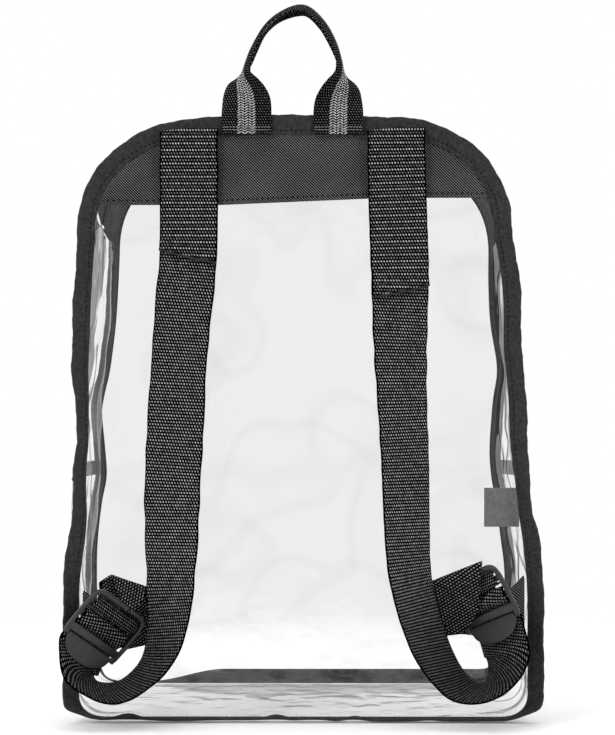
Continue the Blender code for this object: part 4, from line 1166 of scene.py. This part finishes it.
anchors = {
    # through the buckle as a strap's, then the share of its tip and of its height that
    # is left where it lies down on the bag, and its shift to the side there
    "thread": ((14.0, -3.2), (14.0, -0.6), (12.6, 1.2), (10.4, 1.6), (7.4, 0.8), (5.8, -1.4), (5.2, -5.4)),
    "foot": ((6.6, 0.5, 0.35), (7.4, 0.0, 0.0)), "footShift": {"left": 1.0, "right": -7.0},
    # corners of the flat webbing, across and up
    "left": ((-133.0, 90.5), (-124.7, 96.0), (-102.7, 87.8), (-92.0, 82.0), (-93.0, 52.0),
             (-115.0, 47.0), (-127.0, 52.0)),
    "right": ((119.5, 99.5), (102.1, 98.1), (85.0, 92.5), (78.0, 89.0), (84.0, 55.0),
              (102.7, 57.3), (120.9, 55.0), (128.0, 79.0)),
    # across, up and out of the two rims of the webbing's folded end
    "foldLeft": (((-124.6, 95.8, 6.6), (-121.0, 87.5, 10.0), (-117.0, 79.5, 15.0), (-114.6, 73.2, 19.2)),
                 ((-101.6, 88.2, 6.6), (-103.0, 81.5, 10.5), (-107.6, 75.2, 15.5), (-113.6, 72.6, 19.2))),
    "foldRight": (((83.0, 92.0, 6.2), (86.0, 80.0, 6.6), (90.0, 68.0, 7.4), (95.4, 57.6, 8.4)),
                  ((114.0, 106.6, 26.5), (112.4, 98.0, 31.0), (111.8, 77.0, 25.0),
                   (107.6, 66.0, 17.6), (102.0, 59.6, 12.6))),
    # how far the weave is turned on the folded end and on the flat webbing, in degrees
    "foldWeave": {"left": 24, "right": -20}, "flatWeave": {"left": -18, "right": 24},
    "wingLeft": ((-143.5, 86.0), (-143.5, 24.0), (-118.0, 50.0), (-118.0, 62.0)),
    "wingRight": ((143.5, 96.0), (143.5, 30.0), (118.0, 55.0), (118.0, 69.0)),
}


def roundedPatch(name, corners, near, far, finish, turn=0.0, soft=1.0):
    # A flat outline with rounded corners: rings that shrink to its middle, dished a
    # little, and the same rings behind them
    corners = np.array(corners, float)
    dense = np.vstack([np.linspace(a, b, 24, endpoint=False)
                       for a, b in zip(corners, np.roll(corners, -1, axis=0))])
    reach = int(soft * len(dense) / 60)
    window = np.ones(2 * reach + 1) / (2 * reach + 1)
    rim = np.stack([np.convolve(np.concatenate([x[-reach:], x, x[:reach]]), window, "valid")
                    for x in dense.T], axis=1)
    middle = rim.mean(0)
    share = np.array([1.0, 0.985, 0.95, 0.85, 0.65, 0.4, 0.15])
    thick = (far - near) / 2
    edge = np.sqrt(1 - share ** 16) * 0.9 + 0.1
    flat = middle + (rim - middle)[None] * share[:, None, None]
    wave = 0.25 * ripple(flat[..., 0], flat[..., 1], 24.0, 6)
    level, edge = bag["backY"] - (near + far) / 2, edge[:, None]
    sides = level - thick * edge - wave * edge, level + thick * edge + 0 * wave
    front, rear = (np.stack([flat[..., 0], y, flat[..., 1]], axis=-1) for y in sides)
    rings = np.concatenate([front[::-1], rear])
    uv = turnedWeave(np.concatenate([flat[::-1], flat]) - middle, turn)
    return makePiece(name, *tube(rings), finish, uv)


def makeAnchor(side):
    title = side.capitalize()
    buckle = buckles[side]
    wing = roundedPatch("anchorWing" + title, anchors["wing" + title], 0.3, 2.3, twill)
    onBag(wing, "black_twill", "anchor_wing_" + side)
    patch = roundedPatch("anchorPatch" + title, anchors[side], 2.6, 5.4, anchorWebbing,
                         turn=anchors["flatWeave"][side])
    onBag(patch, "strap_webbing", "anchor_webbing_" + side)
    rows = threadRows(buckle, anchors["thread"])
    bars = buckleAxes(buckle)[2]
    level = unit(np.array([bars[0], 0.0, bars[2]]))
    low = bag["backY"] - 4.0
    for along, tipShare, heightShare in anchors["foot"]:
        at = inBuckle(buckle, along, anchors["footShift"][side], anchors["thread"][-1][1])
        at[1] = low + (at[1] - low) * heightShare
        rows.append(np.concatenate([at, unit(level + tipShare * (bars - level))]))
    path = makePath(rows, square=False)
    onBag(makeWeb("anchorLoop" + title, path, {"wide": 35.0, "step": 0.8, "seed": 9}, anchorWebbing), "strap_webbing")
    # The folded end of the webbing, from the wing up over the buckle's edge: straight
    # lines between a left and a right curve through the given points
    sides = []
    for rim in anchors["fold" + title]:
        rim = [(across, bag["backY"] - out, up) for across, up, out in rim]
        sides.append(throughRows(rim, 30)[:, None])
    share = np.linspace(0, 1, 24)[None, :, None]
    points = sides[0] * (1 - share) + sides[1] * share
    points[..., 1] -= 0.5 * np.sin(np.pi * share[..., 0]) * np.sin(np.linspace(0, np.pi, 30))[:, None]
    uv = turnedWeave(points[..., ::2] - points[..., ::2].mean((0, 1)), anchors["foldWeave"][side])
    fold = thicken(openSheet("anchorFold" + title, points, uv, anchorWebbing), 1.2, 0.3)
    onBag(fold, "strap_webbing")


makeAnchor("left")
makeAnchor("right")
print("anchors made")


# Grab handle

handle = {
    "wide": 32.4, "thick": 1.7, "out": 4.4, "halfSeen": 16.2,
    # across, up, half of the width that is seen from the strap side, and the curl
    "rows": ((-36.9, 381.4, 16.2, 0), (-36.9, 393.0, 16.2, 0), (-36.9, 403.3, 15.7, 0), (-38.0, 410.5, 13.9, -0.3),
             (-39.5, 415.6, 11.0, -1.0), (-39.7, 419.2, 6.6, -2.0), (-38.8, 422.8, 2.6, -3.0), (-36.6, 429.4, 0.6, -3.4),
             (-33.4, 437.0, 0.0, -3.2), (-26.2, 449.2, 0.0, -2.0), (-17.2, 458.2, -0.6, -3.0), (-4.9, 464.0, -1.2, -4.6),
             (4.2, 462.8, -1.2, -4.6), (13.8, 453.4, -0.8, -4.4), (20.4, 441.6, -0.5, -4.0), (24.0, 430.4, -0.8, -2.8),
             (25.3, 423.4, -2.4, -2.6), (25.7, 419.2, -5.8, -2.0), (25.4, 415.6, -9.8, -1.0), (24.3, 410.5, -13.0, -0.3),
             (22.9, 403.3, -15.2, 0), (22.6, 393.0, -16.2, 0), (22.6, 381.4, -16.2, 0)),
}


def makeHandle():
    # The width turns from across the bag at the feet to front and back over the arch:
    # its direction is (cos, -sin) of an angle whose cosine is the share that is seen.
    # The curl bends the section as a parabola.
    rows = []
    for across, up, seen, curl in handle["rows"]:
        turn = math.acos(max(-1.0, min(1.0, seen / handle["halfSeen"])))
        rows.append((across, bag["backY"] - handle["out"], up, math.cos(turn), -math.sin(turn), 0.0, curl))
    path = makePath(rows, (0, -1, 0), square=False)
    a, b = webSection(handle["wide"], handle["thick"])
    s = np.linspace(0, path["length"], 300)[:, None] + 0 * a[None, :]
    half = handle["wide"] / 2
    curl = np.interp(s, path["gone"], path["more"][:, 0])
    narrow = 1 - 0.36 * np.clip(-curl / 3, 0, 1)
    points = onPath(path, s, a[None, :] * narrow, b[None, :] + curl * (a[None, :] / half) ** 2)
    piece = makePiece("grabHandle", *tube(points), chevron, np.stack([a[None, :] + 0 * s, s], axis=-1))
    onBag(piece, "handle_webbing", "grab_handle")
    for number, at in enumerate((2.6, 4.4, path["length"] - 2.6, path["length"] - 4.4)):
        line, up = acrossLine(path, at, 0.0, 0.95, 15.4)
        spec = dict(webStitch, slot="handle_webbing", pitch=2.0, finish=paleThread)
        makeStitches("handleStitches%d" % number, line, up, spec)


makeHandle()


# Care label

label = {"left": 117.6, "right": 140.4, "low": 126.3, "high": 151.7, "thick": 0.7}


def makeLabel():
    # A blank rectangle just inside the clear panel, waving a little. It reaches its seam.
    u, v = np.meshgrid(np.linspace(0, 1, 30), np.linspace(0, 1, 40))
    x = label["left"] + (label["right"] - label["left"]) * u
    z = label["low"] + (label["high"] - label["low"]) * v
    y = bag["backY"] + 2.45 + 0.25 * np.sin(2.2 * np.pi * u + 1) + 0.15 * np.sin(2 * np.pi * v)
    sheet = openSheet("careLabel", np.stack([x, y, z], axis=-1), np.stack([x, z], axis=-1), labelCloth)
    piece = thicken(sheet, label["thick"], 0.2)
    onBag(piece, "label_cloth", "care_label")


makeLabel()
print("handle and label made")


# Stage, light and camera

def makeFloor():
    # A pale round floor that fades into the background
    turn = np.linspace(0, 2 * np.pi, 97)[:-1]
    radius = np.array([0.0001, 200, 400, 700, 1000, 1500])
    points = np.stack([radius[:, None] * np.cos(turn), radius[:, None] * np.sin(turn) + 0 * radius[:, None],
                       np.zeros((6, 96))], axis=-1)
    made, tree, shader = newFinish("paleFloor")
    place = tree.nodes.new("ShaderNodeTexCoord")
    length = tree.nodes.new("ShaderNodeVectorMath")
    length.operation = "LENGTH"
    tree.links.new(place.outputs["Object"], length.inputs[0])
    fade = between(tree, length.outputs["Value"], 0.20, 0.60, 1.0, 0.0)
    shader.inputs["Base Color"].default_value = (0.985, 0.985, 0.985, 1)
    shader.inputs["Roughness"].default_value = 0.9
    shader.inputs["Specular IOR Level"].default_value = 0.1
    tree.links.new(fade, shader.inputs["Alpha"])
    floor = makePiece("floor", points, [gridFaces(6, 96, roundColumns=True)], made, closed=False)


def addLight(name, place, aim, wide, tall, power):
    data = bpy.data.lights.new(name, "AREA")
    data.shape = "RECTANGLE"
    data.size, data.size_y, data.energy = wide, tall, power
    lamp = bpy.data.objects.new(name, data)
    bpy.context.scene.collection.objects.link(lamp)
    lamp.location = place
    lamp.rotation_euler = (Vector(aim) - Vector(place)).to_track_quat("-Z", "Y").to_euler()
    lamp.visible_camera = False


def makeStudio():
    makeFloor()
    world = bpy.data.worlds.new("paleStudio")
    bpy.context.scene.world = world
    world.use_nodes = True
    tree = world.node_tree
    sky = tree.nodes["Background"]
    depth = splitUp(tree, tree.nodes.new("ShaderNodeTexCoord").outputs["Generated"])[1]
    sky.inputs[0].default_value = (1, 1, 1, 1)
    # White wherever the camera looks; as a light it is dimmer on the side that the
    # straps face
    light = between(tree, depth, -0.5, 0.2, 0.35, 1.0)
    seen = tree.nodes.new("ShaderNodeLightPath").outputs["Is Camera Ray"]
    tree.links.new(calc(tree, "MAXIMUM", light, seen), sky.inputs[1])
    addLight("keyLeft", (-1.1, -1.3, 1.3), (0, 0, 0.2), 0.7, 1.2, 15)
    addLight("fillRight", (1.3, -1.2, 0.9), (0, 0, 0.2), 0.5, 1.2, 8)
    addLight("overhead", (0.0, 0.1, 1.6), (0, 0, 0), 1.4, 1.0, 12)
    camera = bpy.data.objects.new("camera", bpy.data.cameras.new("camera"))
    bpy.context.scene.collection.objects.link(camera)
    camera.data.lens = 101.7
    camera.data.sensor_width = 36.0
    camera.location = (0.0089, -1.4055, 0.230)
    aim = Vector((0.0026, -0.0555, 0.230))
    camera.rotation_euler = (aim - camera.location).to_track_quat("-Z", "Y").to_euler()
    bpy.context.scene.camera = camera
    bpy.context.scene.view_settings.view_transform = "Standard"


makeStudio()
for name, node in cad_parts.items():
    if not node.hide_render:
        print("plain node still shown:", name)
